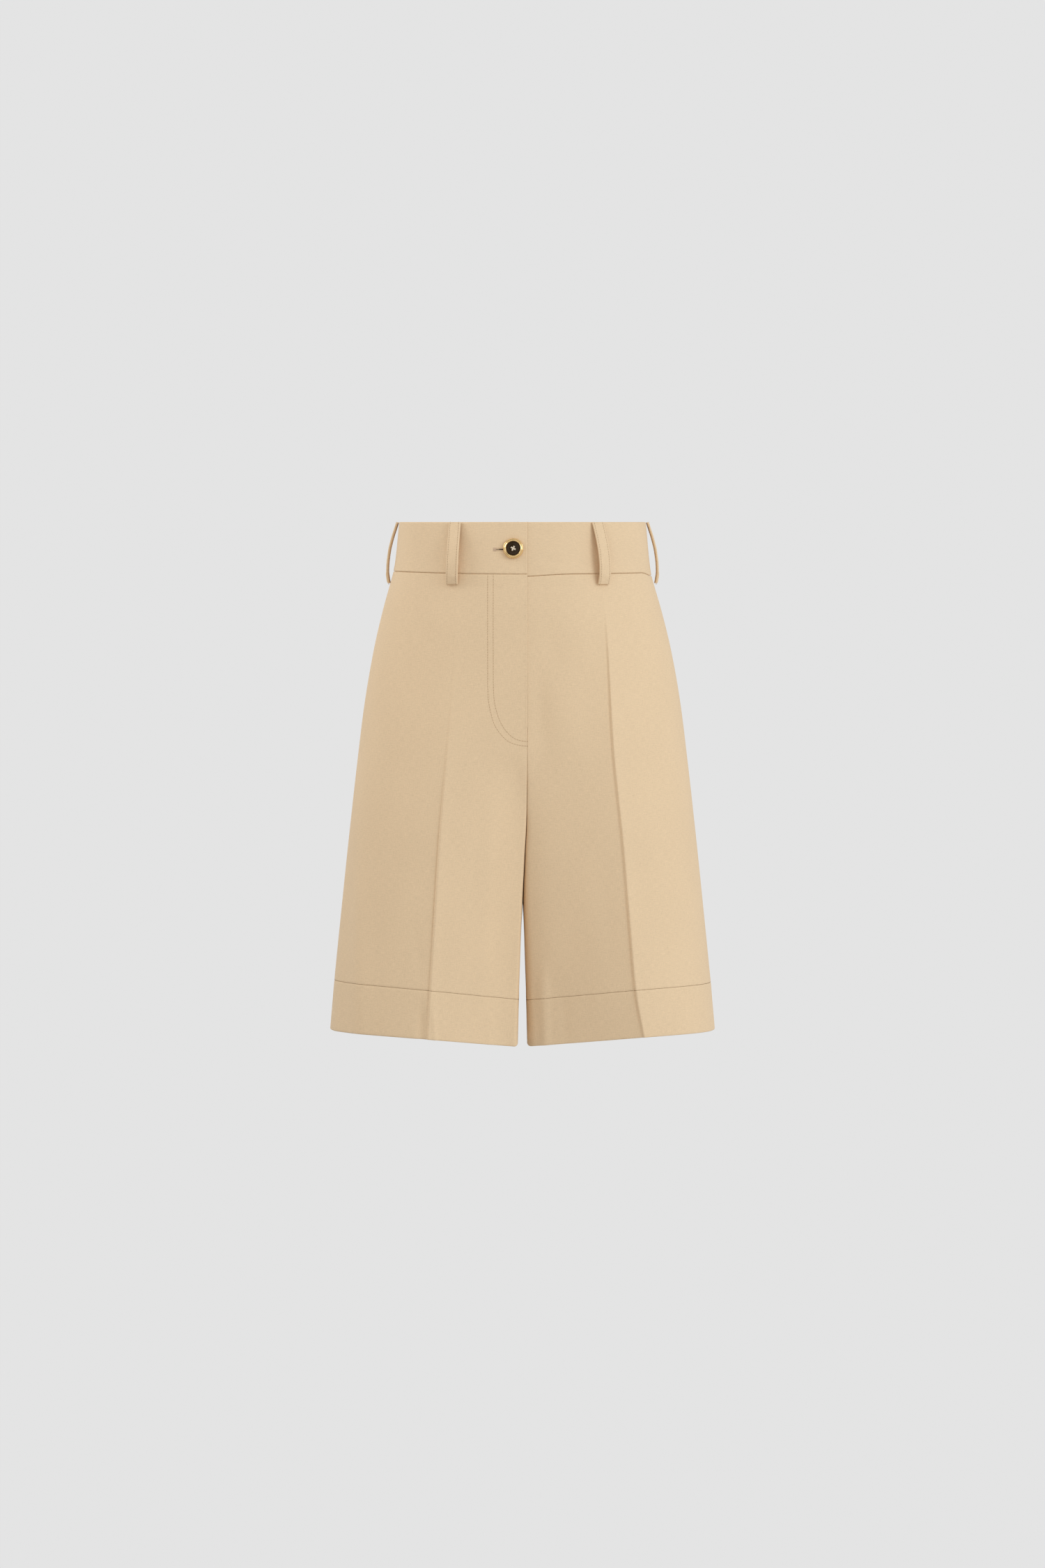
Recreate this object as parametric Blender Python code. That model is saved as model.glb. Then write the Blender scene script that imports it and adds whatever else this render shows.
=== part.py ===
"""Bermuda shorts in cotton gabardine, filled out as if worn, with nobody in them.

Lengths in the tables and functions are millimetres, and objects are made in metres, +Z up. The origin
is the middle of the waist, level with the band's top edge. The front faces -Y and the wearer's left is
+X. "Drop" is the distance below the band's top edge and "width" the distance sideways from the middle
plane. "Depth" is the distance from the plane of the side seams: forwards on a front piece, backwards on
a back piece.
"""

import math

import bmesh
import bpy
import numpy as np
from mathutils import Matrix, Vector

MM = 0.001

# --- Driving dimensions ---------------------------------------------------------------------------

BAND_HEIGHT = 51.0  # waistband, from its top edge to the waist seam at centre front
CROTCH = 290.0  # drop of the crotch point, where the four panels meet
CROTCH_BACK = 6.0  # the crotch point lies this far behind the plane of the side seams
HEM_DROP = 518.3  # drop of the hem at the inseam
HEM_TILT = 0.080  # rise of the hem for each millimetre from the inseam out to the side seam
HEM_FRONT_LIFT = 3.6  # the front of the hem is cut this much higher than its sides
HEM_LIFT_DEPTH = 94.5  # where the surface is this deep, and more where it is deeper
HEM_DEPTH = {"right": (46.8, 49.8), "left": (46.2, 47.6)}  # stitching to fold, at inseam and side seam

CLOTH = 1.2  # wall of one panel
HEM_CLOTH = 2.4  # wall of the turned-up hem, which is two layers
BAND_CLOTH = 2.0  # waistband, with its interlining
BAND_PROUD = 0.4  # the band's face stands this far out from the panels' face
SEAM_GAP = 0.3  # between two pieces that are sewn together

FLY_LAPPED_TO = 194.0  # above this drop the left front reaches in under the right one
FLY_CLEAR_AT = 202.0  # from this drop down the two fronts lie edge to edge
FLY_LEVEL_AT = 222.0  # and from this drop down they lie in one surface
FLY_UNDER = -2.5  # X of the edge of the left front, under the right one
FLY_INSET = 1.6  # the left front lies this much further in where it is lapped
FLY_FADE = 34.0  # the width over which the left front comes back out
BAND_UNDER = -32.0  # X of the end of the band's underlap
BAND_INSET = 2.4  # the underlap lies this much further in

SHIELD_WIDTH = (-34.0, 12.0)  # X of the two long edges of the fly shield
SHIELD_DROP = (54.4, 200.0)
SHIELD_INSET = 3.3
SHIELD_CLOTH = 1.0

LOOP_WIDTH = 12.8
LOOP_LENGTH = 60.5
LOOP_CLOTH = 2.2
LOOP_TOP = 0.3  # the loops' upper ends stop this far below the band's top edge

BUTTON_X = -8.9
BUTTON_DROP = 26.1
BUTTON_LIFT = 0.5  # between the button's back and the band
BUTTON_TILT_REACH = 6.0  # the button lies along the band as measured this far to each side of its middle
RIM_RADIUS = 9.9
RIM_HEIGHT = 3.2
RIM_ROUND = 1.4  # radius of the rim's rounded top
FACE_RADIUS = 6.8
FACE_HEIGHT = 2.0
DISH_DEPTH = 0.5
HOLE_RADIUS = 0.75
HOLE_SPREAD = 1.25  # of each sewing hole from the button's middle, sideways and up or down

COTTON = (0.68, 0.53, 0.35)
GOLD = (0.83, 0.60, 0.25)
HORN = (0.045, 0.028, 0.015)

# --- Tables ---------------------------------------------------------------------------------------

BODY = (  # half width at the side seams, and depth beside the centre; left_front is the left front's own
    ("drop", "half_width", "front", "back", "left_front"),
    (0, 122.2, 90.0, 96.0, 90.0),
    (48, 127.3, 95.5, 106.0, 95.5),
    (64, 131.5, 96.8, 109.5, 96.8),
    (84, 137.2, 98.0, 113.5, 98.0),
    (125, 147.1, 98.5, 120.0, 98.5),
    (180, 156.8, 97.0, 123.5, 97.0),
    (236, 163.8, 94.5, 122.5, 94.5),
    (290, 169.9, 91.5, 118.0, 91.5),
    (400, 180.5, 86.5, 111.0, 83.0),
    (520, 191.4, 82.0, 103.0, 73.0),
)

CREASES = {  # place of each pressed crease, and degrees the cloth falls away to its outer and inner side
    ("right", "front"): (
        ("drop", "width", "depth", "outer_slope", "inner_slope"),
        (0, 63.0, 77.2, 23.8, -23.8),
        (51, 64.2, 83.0, 23.4, -23.2),
        (123, 66.8, 91.2, 21.5, -14.0),
        (219, 72.9, 98.6, 18.0, -1.0),
        (314, 80.4, 102.5, 16.0, 4.0),
        (410, 86.0, 103.5, 14.0, 8.0),
        (520, 92.6, 102.5, 13.0, 9.0),
    ),
    ("left", "front"): (
        ("drop", "width", "depth", "outer_slope", "inner_slope"),
        (0, 76.0, 70.5, 30.2, -30.2),
        (51, 79.0, 75.4, 30.0, -29.5),
        (123, 83.8, 86.6, 28.0, -12.0),
        (219, 89.3, 97.5, 25.0, 3.0),
        (314, 98.8, 103.5, 22.5, 8.5),
        (410, 106.3, 105.5, 20.5, 12.0),
        (472, 111.6, 105.0, 20.0, 14.0),
        (520, 120.0, 103.5, 19.5, 15.5),
    ),
    ("both", "back"): (
        ("drop", "width", "depth", "outer_slope", "inner_slope"),
        (0, 66.0, 80.8, 26.7, -26.7),
        (51, 68.0, 91.2, 27.7, -26.7),
        (123, 72.0, 109.0, 26.5, -17.0),
        (180, 75.0, 117.5, 25.5, -9.0),
        (236, 79.0, 121.0, 23.0, -4.0),
        (314, 86.0, 120.0, 18.0, 1.0),
        (410, 92.0, 116.0, 14.0, 5.0),
        (520, 98.0, 110.0, 13.0, 6.0),
    ),
}

PULLS = (  # length of each curve handle, as a share of the stretch of section that it shapes
    ("drop", "side", "outer", "inner", "centre"),
    (0, 0.41, 0.68, 0.33, 0.35),
    (123, 0.44, 0.66, 0.36, 0.38),
    (190, 0.48, 0.63, 0.40, 0.40),
    (290, 0.57, 0.58, 0.42, 0.40),
    (520, 0.60, 0.56, 0.42, 0.40),
)

CORNERS = (  # how far across and how far back the cloth takes to turn in between the legs
    ("drop", "right", "left", "back", "fall"),
    (0, 20.0, 20.0, 20.0, 8.0),
    (190, 16.0, 16.0, 16.0, 8.0),
    (240, 9.0, 9.0, 9.0, 9.0),
    (290, 7.0, 9.0, 8.0, 14.0),
    (400, 8.0, 16.0, 11.0, 24.0),
    (520, 13.0, 28.0, 18.0, 40.0),
)

MIDDLE = (  # X of the seams between the two legs' panels, how far their edges lean, and half the gap there
    ("drop", "front_x", "back_x", "lean", "half_gap"),
    (0, 4.8, 0.0, 0.0, 0.15),
    (190, 4.8, 0.0, 0.0, 0.15),
    (222, 4.7, 0.6, 0.0, 0.15),
    (290, 4.0, 4.0, 1.0, 0.17),
    (330, 2.1, 2.1, 1.0, 0.25),
    (375, 0.3, 0.3, 1.0, 0.35),
    (400, 0.0, 0.0, 0.9, 1.20),
    (437, 0.0, 0.0, 0.3, 2.40),
    (465, 0.0, 0.0, 0.0, 3.40),
    (520, 0.0, 0.0, 0.0, 4.60),
)

WAIST_SEAM = {  # the waist seam rises towards the side seam, sags beside the fly and drops at its end
    "right": {"side_rise": 2.2, "fly_sag": 0.0, "side_fall": 0.0},
    "left": {"side_rise": 1.0, "fly_sag": 2.3, "side_fall": 3.2},
}
FLY_SAG_WIDTH = 28.0
SIDE_FALL_FROM = 0.92  # the drop starts at this share of the waist's half width
WAIST_WIDTH = 128.3  # half width of the garment at the waist seam
ROWS_LEVEL_AT = 150.0  # by this drop the rows of the panels run level

FORK = {"front": 226.0, "back": 205.0}  # drop at which the centre seam starts to curve to the crotch
SEAM_VALLEY = 4.0  # how softly the two legs' cloth rounds into the centre seam there
SOFT_START = 1.25  # above 1, the corner of a leg starts to turn gradually

LOOPS = (  # X (Y on a side) of a loop's middle at its ends, how far it stands off and degrees it leans
    ("name", "spot", "top", "bottom", "stand_off", "turned"),
    ("belt_loop_front_right", "front", -65.5, -68.5, 7.1, 20.0),
    ("belt_loop_front_left", "front", 73.0, 78.5, 6.9, 0.0),
    ("belt_loop_side_right", "right", 4.0, 4.0, 5.7, 0.0),
    ("belt_loop_side_left", "left", 4.0, 4.0, 5.7, 0.0),
    ("belt_loop_back", "back", 0.0, 0.0, 5.8, 0.0),
)
LOOP_PROFILE = (  # how the stand-off runs down a loop, from the band's top edge to its lower end
    ("share", "stand_off"),
    (0.00, 0.00),
    (0.10, 0.24),
    (0.30, 0.70),
    (0.48, 0.96),
    (0.62, 1.00),
    (0.80, 0.84),
    (0.92, 0.40),
    (1.00, 0.00),
)

OUTER_STEPS = 9  # of a panel's section, from the side seam to the crease
FACE_STEPS = 6  # from the crease to the corner where the cloth may turn in between the legs
WALL_STEPS = 7  # from that corner to the centre seam or the inseam
HIP_ROWS = 8  # from the waist seam to where the fronts' lap starts to end
FLY_ROWS = 2  # from where the fronts lie edge to edge to where they lie level
FORK_ROWS = 6  # from there to the crotch
LEG_ROWS = 6  # from the crotch to the hem's stitching
HEM_ROWS = 3  # the step to double cloth, and the hem
BAND_ROWS = 3
LOOP_ROWS = 14
RIM_STEPS = 36


# --- Curves and tables ----------------------------------------------------------------------------

def read(table, column, at):
    """A column of a table at one value of its first column, on a smooth curve that stays within the rows."""
    rows = np.array(table[1:], float)
    x, y = rows[:, 0], rows[:, table[0].index(column)]
    run, rise = np.diff(x), np.diff(y) / np.diff(x)
    slope = np.concatenate([rise[:1], np.zeros(len(x) - 2), rise[-1:]])
    for i in range(1, len(x) - 1):
        if rise[i - 1] * rise[i] > 0:
            before, after = 2 * run[i] + run[i - 1], run[i] + 2 * run[i - 1]
            slope[i] = (before + after) / (before / rise[i - 1] + after / rise[i])
    at = min(max(at, x[0]), x[-1])
    k = min(max(int(np.searchsorted(x, at)) - 1, 0), len(run) - 1)
    t = (at - x[k]) / run[k]
    start = y[k] * (1 + 2 * t) * (1 - t) ** 2 + slope[k] * run[k] * t * (1 - t) ** 2
    return start + y[k + 1] * t * t * (3 - 2 * t) + slope[k + 1] * run[k] * t * t * (t - 1)


def ease(t):
    """0 below 0, 1 above 1, and a smooth rise between."""
    t = min(1.0, max(0.0, t))
    return t * t * (3 - 2 * t)


def mix(a, b, share):
    return a * (1 - share) + b * share


def bezier(p0, p1, p2, p3, steps):
    """Points on a cubic curve, both ends included."""
    t = np.linspace(0, 1, steps + 1)[:, None]
    return (1 - t) ** 3 * p0 + 3 * t * (1 - t) ** 2 * p1 + 3 * t * t * (1 - t) * p2 + t**3 * p3


def heading(degrees):
    return np.array([math.cos(math.radians(degrees)), math.sin(math.radians(degrees))])


# --- The garment's surface ------------------------------------------------------------------------

def sign(side):
    return 1 if side == "left" else -1


def crease_table(side, face):
    return CREASES[("both", "back") if face == "back" else (side, face)]


def centre_depth(side, face, drop):
    """Depth of a panel's face next to the centre seam, or to the inseam below it."""
    return read(BODY, "left_front" if (side, face) == ("left", "front") else face, drop)


def seam_width(side, face, drop):
    """Width of a panel's edge at the centre seam or the inseam, which is negative past the middle plane."""
    return sign(side) * read(MIDDLE, face + "_x", drop) + read(MIDDLE, "half_gap", drop)


def section(side, face, drop):
    """One panel's (width, depth) points at a drop, from the side seam to the centre seam or the inseam."""
    table = crease_table(side, face)
    crease = np.array([read(table, "width", drop), read(table, "depth", drop)])
    side_seam = np.array([read(BODY, "half_width", drop), 0.0])
    from_seam = side_seam + [0, read(PULLS, "side", drop) * crease[1]]
    reach = read(PULLS, "outer", drop) * (side_seam[0] - crease[0])
    to_crease = crease + heading(-read(table, "outer_slope", drop)) * reach
    outer = bezier(side_seam, from_seam, to_crease, crease, OUTER_STEPS)
    return np.vstack([outer, inner_line(side, face, drop, crease)[1:]])


def inner_line(side, face, drop, crease):
    """The points from the crease to the middle, and below the fork on round into the space between the legs."""
    edge, centre = seam_width(side, face, drop), centre_depth(side, face, drop)
    reach = read(PULLS, "inner", drop) * crease[0]
    from_crease = crease + heading(180 + read(crease_table(side, face), "inner_slope", drop)) * reach
    near_middle = (edge + read(PULLS, "centre", drop) * crease[0], centre)
    flat = bezier(crease, from_crease, near_middle, (edge, centre), 40)

    # The corner is a quarter of an ellipse, and the wall behind it runs straight back to the inseam.
    across, back = read(CORNERS, side if face == "front" else "back", drop), read(CORNERS, "fall", drop)
    wall = centre + (CROTCH_BACK if face == "front" else -CROTCH_BACK)
    turn = np.linspace(0, math.pi / 2, 16)
    before = flat[flat[:, 0] > edge + across, 0]
    width = np.concatenate([before, edge + across * (1 - np.sin(turn)), np.full(12, edge)])
    round_corner = back * (1 - np.cos(turn)) ** SOFT_START
    fall = np.concatenate([0 * before, round_corner, np.linspace(back, wall, 13)[1:]])

    # Between the fork and the crotch it stops on the centre seam, which curves under until it runs level.
    under = min(1.0, max(0.0, (drop - FORK[face]) / (CROTCH - FORK[face])))
    seam_fall = wall * (1 - math.sqrt(1 - under**3))
    fall = (fall + seam_fall - np.hypot(fall - seam_fall, SEAM_VALLEY * 4 * under * (1 - under))) / 2
    lean = read(MIDDLE, "lean", drop) * sign(side) * (1 if face == "front" else -1)
    bowed = width + lean * np.sin(math.pi * np.clip((fall - back) / (wall - back), 0, 1))
    depth = np.interp(-width, -flat[:, 0], flat[:, 1]) - fall
    return steps_along(np.column_stack([bowed, depth]), len(before))


def steps_along(points, corner):
    """The same line in even steps as far as the corner's point, and from there in steps that grow."""
    run = np.concatenate([[0], np.cumsum(np.linalg.norm(np.diff(points, axis=0), axis=1))])
    across = np.linspace(0, run[corner], FACE_STEPS + 1)
    rest = mix(run[corner], run[-1], np.linspace(0, 1, WALL_STEPS + 1)[1:] ** 1.6)
    return np.column_stack([np.interp([*across, *rest], run, column) for column in points.T])


def front_depth(x, drop):
    """Depth of the front surface at any X, on either side of the centre seam."""
    side = "left" if x > read(MIDDLE, "front_x", drop) else "right"
    points = section(side, "front", drop)[::-1]
    return float(np.interp(sign(side) * x, points[:, 0], points[:, 1]))


def place(side, face, width, depth, drop):
    """World position, in millimetres."""
    return (sign(side) * width, -depth if face == "front" else depth, -drop)


# --- Walls ----------------------------------------------------------------------------------------

def moved_in(grid, thickness, outwards, standing=()):
    """The inner face of a wall: each point of the outer face moved along its normal.

    The first and last rows move level, so that the cloth's edges stay flat, and the columns listed in
    standing move straight sideways, so that a seam's two edges stay parallel.
    """
    along, down = np.gradient(grid, axis=1), np.gradient(grid, axis=0)
    normal = np.cross(along, down)
    normal[[0, -1], :, 2] = 0
    normal[:, list(standing), 1] = 0
    normal /= np.linalg.norm(normal, axis=2, keepdims=True)
    middle = normal[len(grid) // 2, grid.shape[1] // 2]
    if np.dot(middle, outwards) < 0:
        normal = -normal
    return grid - normal * np.asarray(thickness).reshape(-1, 1, 1)


def wall(name, outer, inner, slot, parent):
    """A closed wall between two grids of points in millimetres."""
    rows, columns = outer.shape[:2]
    count = rows * columns
    mesh = bpy.data.meshes.new(name)
    shape = bmesh.new()
    both_faces = np.vstack([outer.reshape(-1, 3), inner.reshape(-1, 3)])
    verts = [shape.verts.new(Vector(p) * MM) for p in both_faces]

    def quad(*corners):
        shape.faces.new([verts[i] for i in corners])

    for r in range(rows - 1):
        for c in range(columns - 1):
            a, b = r * columns + c, r * columns + c + 1
            d, e = b + columns, a + columns
            quad(a, b, d, e)
            quad(count + e, count + d, count + b, count + a)
    border = list(range(columns))
    border += [r * columns + columns - 1 for r in range(1, rows)]
    border += [(rows - 1) * columns + c for c in range(columns - 2, -1, -1)]
    border += [r * columns for r in range(rows - 2, 0, -1)]
    for a, b in zip(border, border[1:] + border[:1]):
        quad(b, a, count + a, count + b)
    if shape.calc_volume(signed=True) < 0:
        bmesh.ops.reverse_faces(shape, faces=shape.faces)
    shape.to_mesh(mesh)
    shape.free()
    mesh.shade_smooth()
    mesh.set_sharp_from_angle(angle=math.radians(30))
    return add_object(name, mesh, slot, parent)


def add_object(name, mesh, slot, parent):
    piece = bpy.data.objects.new(name, mesh)
    bpy.context.scene.collection.objects.link(piece)
    mesh.materials.append(slot)
    piece.parent = parent
    return piece


def material(name, colour, roughness, metallic=0.0):
    made = bpy.data.materials.new(name)
    made.use_nodes = True
    shader = made.node_tree.nodes["Principled BSDF"]
    shader.inputs["Base Color"].default_value = (*colour, 1)
    shader.inputs["Roughness"].default_value = roughness
    shader.inputs["Metallic"].default_value = metallic
    made.diffuse_color = (*colour, 1)
    return made


# --- Fronts and backs -----------------------------------------------------------------------------

def fly_inset(width, drop):
    """How far the left front lies inside the surface, beside and under the edge of the fly."""
    across = 1 - ease((width - MIDDLE[1][1]) / FLY_FADE)
    down = 1 - ease((drop - FLY_CLEAR_AT) / (FLY_LEVEL_AT - FLY_CLEAR_AT))
    return FLY_INSET * across * down


def waist_seam_shift(side, face, width):
    """How much lower the waist seam is than the band's plain height."""
    shape = WAIST_SEAM[side]
    sag = shape["fly_sag"] * math.exp(-((max(width, 0) / FLY_SAG_WIDTH) ** 2)) if face == "front" else 0.0
    fall = shape["side_fall"] * ease((width / WAIST_WIDTH - SIDE_FALL_FROM) / (1 - SIDE_FALL_FROM))
    return sag + fall - shape["side_rise"] * (width / WAIST_WIDTH) ** 2


def hem_drop(face, width, depth):
    """Drop of the hem's fold: its plane rises towards the side seam, and towards the front crease."""
    lift = HEM_FRONT_LIFT * (depth / HEM_LIFT_DEPTH) ** 2 if face == "front" else 0.0
    return HEM_DROP - HEM_TILT * (width - MIDDLE[-1][-1]) - lift


def row_drops(side):
    """Drops of the rows of a panel where its hem is lowest: the body's rows, the leg's, and the hem's."""
    hip = mix(BAND_HEIGHT, FLY_LAPPED_TO, np.linspace(0, 1, HIP_ROWS + 1) ** 1.25)
    fly = np.linspace(FLY_CLEAR_AT, FLY_LEVEL_AT, FLY_ROWS + 1)
    fork = mix(FLY_LEVEL_AT, CROTCH, np.sin(np.linspace(0, math.pi / 2, FORK_ROWS + 1)))
    stitching = HEM_DROP - HEM_DEPTH[side][0]
    leg = np.linspace(CROTCH, stitching, LEG_ROWS + 1)
    return [*hip, *fly, *fork[1:]], leg[1:], [stitching + 1.5, mix(stitching, HEM_DROP, 0.5), HEM_DROP]


def row_level(side, face, width, depth, drop):
    """Drop of one point of a row, which is level at the crotch and follows the seams at waist and hem."""
    if drop <= CROTCH:
        fade = max(0.0, (ROWS_LEVEL_AT - drop) / (ROWS_LEVEL_AT - BAND_HEIGHT))
        return drop + waist_seam_shift(side, face, width) * fade
    hem = hem_drop(face, width, depth)
    at_inseam, at_side = HEM_DEPTH[side]
    stitching = hem - mix(at_inseam, at_side, width / BODY[-1][1])
    lowest = HEM_DROP - at_inseam
    if drop <= lowest:
        return mix(CROTCH, stitching, (drop - CROTCH) / (lowest - CROTCH))
    return mix(stitching, hem, (drop - lowest) / at_inseam)


def panel_points(side, face):
    """The grid of a panel's outer face: a row for each level, from the waist seam to the hem."""
    grid = []
    for drop in np.concatenate(row_drops(side)):
        points = section(side, face, drop)
        widths, depths = points[:, 0], points[:, 1]
        depths[0] += SEAM_GAP / 2
        if drop > CROTCH - 1e-6:
            depths[-1] += SEAM_GAP / 2
        if (side, face) == ("left", "front"):
            reach = 1 - ease((drop - FLY_LAPPED_TO) / (FLY_CLEAR_AT - FLY_LAPPED_TO))
            widths[-1] = mix(widths[-1], FLY_UNDER, reach)
            depths -= [fly_inset(width, drop) for width in widths]
        grid.append([place(side, face, *point, row_level(side, face, *point, drop)) for point in points])
    return np.array(grid)


def make_panel(side, face, cotton, parent):
    """A front or back with its turned-up hem, which is a second layer on the inside."""
    outer = panel_points(side, face)
    thickness = [CLOTH] * (len(outer) - HEM_ROWS) + [HEM_CLOTH] * HEM_ROWS
    outwards = (sign(side) * 0.4, -1 if face == "front" else 1, 0)
    inner = moved_in(outer, thickness, outwards, standing=[0])

    # Along the inseam the inner face moves straight sideways, and above it never towards the other leg.
    below = outer[:, -1, 2] <= -CROTCH + 1e-6
    inner[below, -1, 1] = outer[below, -1, 1]
    inner[below, -1, 0] = outer[below, -1, 0] + sign(side) * np.array(thickness)[below]
    keep_off = np.maximum if side == "left" else np.minimum
    inner[:, -1, 0] = keep_off(inner[:, -1, 0], outer[:, -1, 0])
    return wall(f"{face}_{side}", outer, inner, cotton, parent)


# --- Waistband and fly ----------------------------------------------------------------------------

def band_row(share):
    """One row of the band's face, from its over end at the fly, round the back, to its underlap's end."""
    level = BAND_HEIGHT * share
    row = []

    def add(side, face, width, depth):
        seam = BAND_HEIGHT + waist_seam_shift(side, face, width) - SEAM_GAP
        row.append(place(side, face, width, depth + BAND_PROUD, seam * share))

    for width, depth in section("right", "front", level)[::-1]:
        add("right", "front", width, depth)
    for width, depth in section("right", "back", level)[1:-1]:
        add("right", "back", width, depth)
    for width, depth in section("left", "back", level)[::-1]:
        add("left", "back", width, depth)
    for width, depth in section("left", "front", level)[1:]:
        inset = BAND_INSET * (1 - ease((width - MIDDLE[1][1] - 1) / FLY_FADE))
        add("left", "front", width, depth - inset)
    for x in np.linspace(0, BAND_UNDER, 5):
        add("left", "front", x, front_depth(x, level) - BAND_INSET)
    return row


def make_waistband(cotton, parent):
    """One band of cloth round the waist, open at the fly, where its right end laps over its left end."""
    outer = np.array([band_row(share) for share in np.linspace(0, 1, BAND_ROWS + 1)])
    inner = moved_in(outer, BAND_CLOTH, (0, 1, 0))
    return wall("waistband", outer, inner, cotton, parent)


def make_fly_shield(cotton, parent):
    """The strip behind the fly opening, sewn to the left front."""
    outer = np.array([
        [(x, SHIELD_INSET - front_depth(x, drop), -drop) for x in np.linspace(*SHIELD_WIDTH, 7)]
        for drop in np.linspace(*SHIELD_DROP, 8)
    ])
    return wall("fly_shield", outer, moved_in(outer, SHIELD_CLOTH, (0, -1, 0)), cotton, parent)


# --- Belt loops -----------------------------------------------------------------------------------

def carrier(spot, along, drop):
    """The point under a belt loop, and the level direction straight out of the cloth there."""
    side = spot if spot in ("left", "right") else ("left" if along > 0 else "right")
    face = "front" if spot == "front" else "back"
    points = section(side, face, drop)[::-1]
    if spot in ("left", "right"):
        points = points[points[:, 1] < read(BODY, "back", drop) / 2][::-1]
        near, far = (np.array([np.interp(v, points[:, 1], points[:, 0]), v]) for v in (along, along + 2))
    else:
        places = (abs(along), abs(along) + 2)
        near, far = (np.array([v, np.interp(v, points[:, 0], points[:, 1])]) for v in places)
    near, far = (Vector(place(side, face, *p, drop)) for p in (near, far))
    outward = Vector((far.y - near.y, near.x - far.x, 0)).normalized()
    if spot == "back" and along == 0:
        near.x, outward = 0.0, Vector((0, 1, 0))
    return near, outward if outward.dot(near) > 0 else -outward


def make_belt_loop(name, spot, top, bottom, stand_off, turned_by, cotton, parent):
    """A flat strip sewn at the band's top edge and below the waist seam, and standing off in between."""
    cos, sin = heading(turned_by)
    grid = []
    for share in (1 - np.cos(np.linspace(0, math.pi, LOOP_ROWS + 1))) / 2:
        drop = mix(0.6, LOOP_LENGTH, share)
        point, outward = carrier(spot, mix(top, bottom, share), drop)
        across = Vector((-outward.y, outward.x, 0))
        away = outward * cos + across * sin
        middle = point + outward * (SEAM_GAP + BAND_PROUD)
        middle += away * stand_off * read(LOOP_PROFILE, "stand_off", share)
        grid.append([middle + across * LOOP_WIDTH * step for step in (-0.5, 0.0, 0.5)])
    inner = np.array(grid)
    outer = moved_in(inner, -LOOP_CLOTH, carrier(spot, top, 0)[1])
    level_with_band = -LOOP_TOP - 0.05 * np.arange(len(outer))[:, None]
    outer[..., 2] = np.minimum(outer[..., 2], level_with_band)
    return wall(name, outer, inner, cotton, parent)


# --- Button ---------------------------------------------------------------------------------------

def button_frame():
    """Matrix of the button: its own +Z points out of the cloth, and its back lies just off the band."""
    steps = (-BUTTON_TILT_REACH, BUTTON_TILT_REACH)
    above, below = (front_depth(BUTTON_X, BUTTON_DROP + step) for step in steps)
    right, left = (front_depth(BUTTON_X + step, BUTTON_DROP) for step in steps)
    outward = Vector((right - left, -2 * BUTTON_TILT_REACH, below - above)).normalized()
    seat = Vector((BUTTON_X, -front_depth(BUTTON_X, BUTTON_DROP), -BUTTON_DROP))
    seat += outward * (BAND_PROUD + BUTTON_LIFT)
    return Matrix.Translation(seat * MM) @ outward.to_track_quat("Z", "Y").to_matrix().to_4x4()


def turned(name, profile, slot, parent, closed):
    """A round piece spun from a profile of (radius, height) points."""
    mesh = bpy.data.meshes.new(name)
    shape = bmesh.new()
    points = [shape.verts.new(Vector((radius, 0, height)) * MM) for radius, height in profile]
    pairs = zip(points, points[1:] + (points[:1] if closed else []))
    edges = [shape.edges.new(pair) for pair in pairs]
    bmesh.ops.spin(
        shape,
        geom=points + edges,
        cent=(0, 0, 0),
        axis=(0, 0, 1),
        angle=2 * math.pi,
        steps=RIM_STEPS,
        use_merge=True,
    )
    bmesh.ops.remove_doubles(shape, verts=shape.verts, dist=1e-6)
    bmesh.ops.recalc_face_normals(shape, faces=shape.faces)
    shape.to_mesh(mesh)
    shape.free()
    mesh.shade_smooth()
    mesh.set_sharp_from_angle(angle=math.radians(35))
    piece = add_object(name, mesh, slot, parent)
    piece.matrix_world = button_frame()
    return piece


def make_button_rim(gold, parent):
    """The polished metal ring round the button."""
    inside, high = FACE_RADIUS + SEAM_GAP, RIM_HEIGHT - RIM_ROUND
    crown = [
        (RIM_RADIUS - RIM_ROUND + RIM_ROUND * math.cos(a), high + RIM_ROUND * math.sin(a))
        for a in np.linspace(0, math.pi, 9)
    ]
    profile = [(RIM_RADIUS - 0.4, 0), (RIM_RADIUS, 0.5), *crown, (inside, 0)]
    return turned("button_rim", profile, gold, parent, True)


def make_button_face(horn, parent):
    """The dark dished disc inside the ring, with four sewing holes."""
    dish = [(5.4, FACE_HEIGHT), (3.6, FACE_HEIGHT - 0.8 * DISH_DEPTH), (0, FACE_HEIGHT - DISH_DEPTH)]
    profile = [(0, 0.1), (FACE_RADIUS, 0.1), (FACE_RADIUS, FACE_HEIGHT), *dish]
    piece = turned("button_face", profile, horn, parent, False)

    drills = bmesh.new()
    for x in (-HOLE_SPREAD, HOLE_SPREAD):
        for y in (-HOLE_SPREAD, HOLE_SPREAD):
            bmesh.ops.create_cone(
                drills, cap_ends=True, segments=12, radius1=HOLE_RADIUS * MM, radius2=HOLE_RADIUS * MM,
                depth=6 * MM, matrix=Matrix.Translation(Vector((x, y, 1)) * MM),
            )
    mesh = bpy.data.meshes.new("button_drills")
    drills.to_mesh(mesh)
    drills.free()
    cutter = add_object("button_drills", mesh, horn, parent)
    cutter.matrix_world = button_frame()
    cutter.hide_render = True
    cutter.display_type = "WIRE"
    cut = piece.modifiers.new("sewing_holes", "BOOLEAN")
    cut.operation = "DIFFERENCE"
    cut.object = cutter
    return piece


# --- The garment ----------------------------------------------------------------------------------

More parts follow.
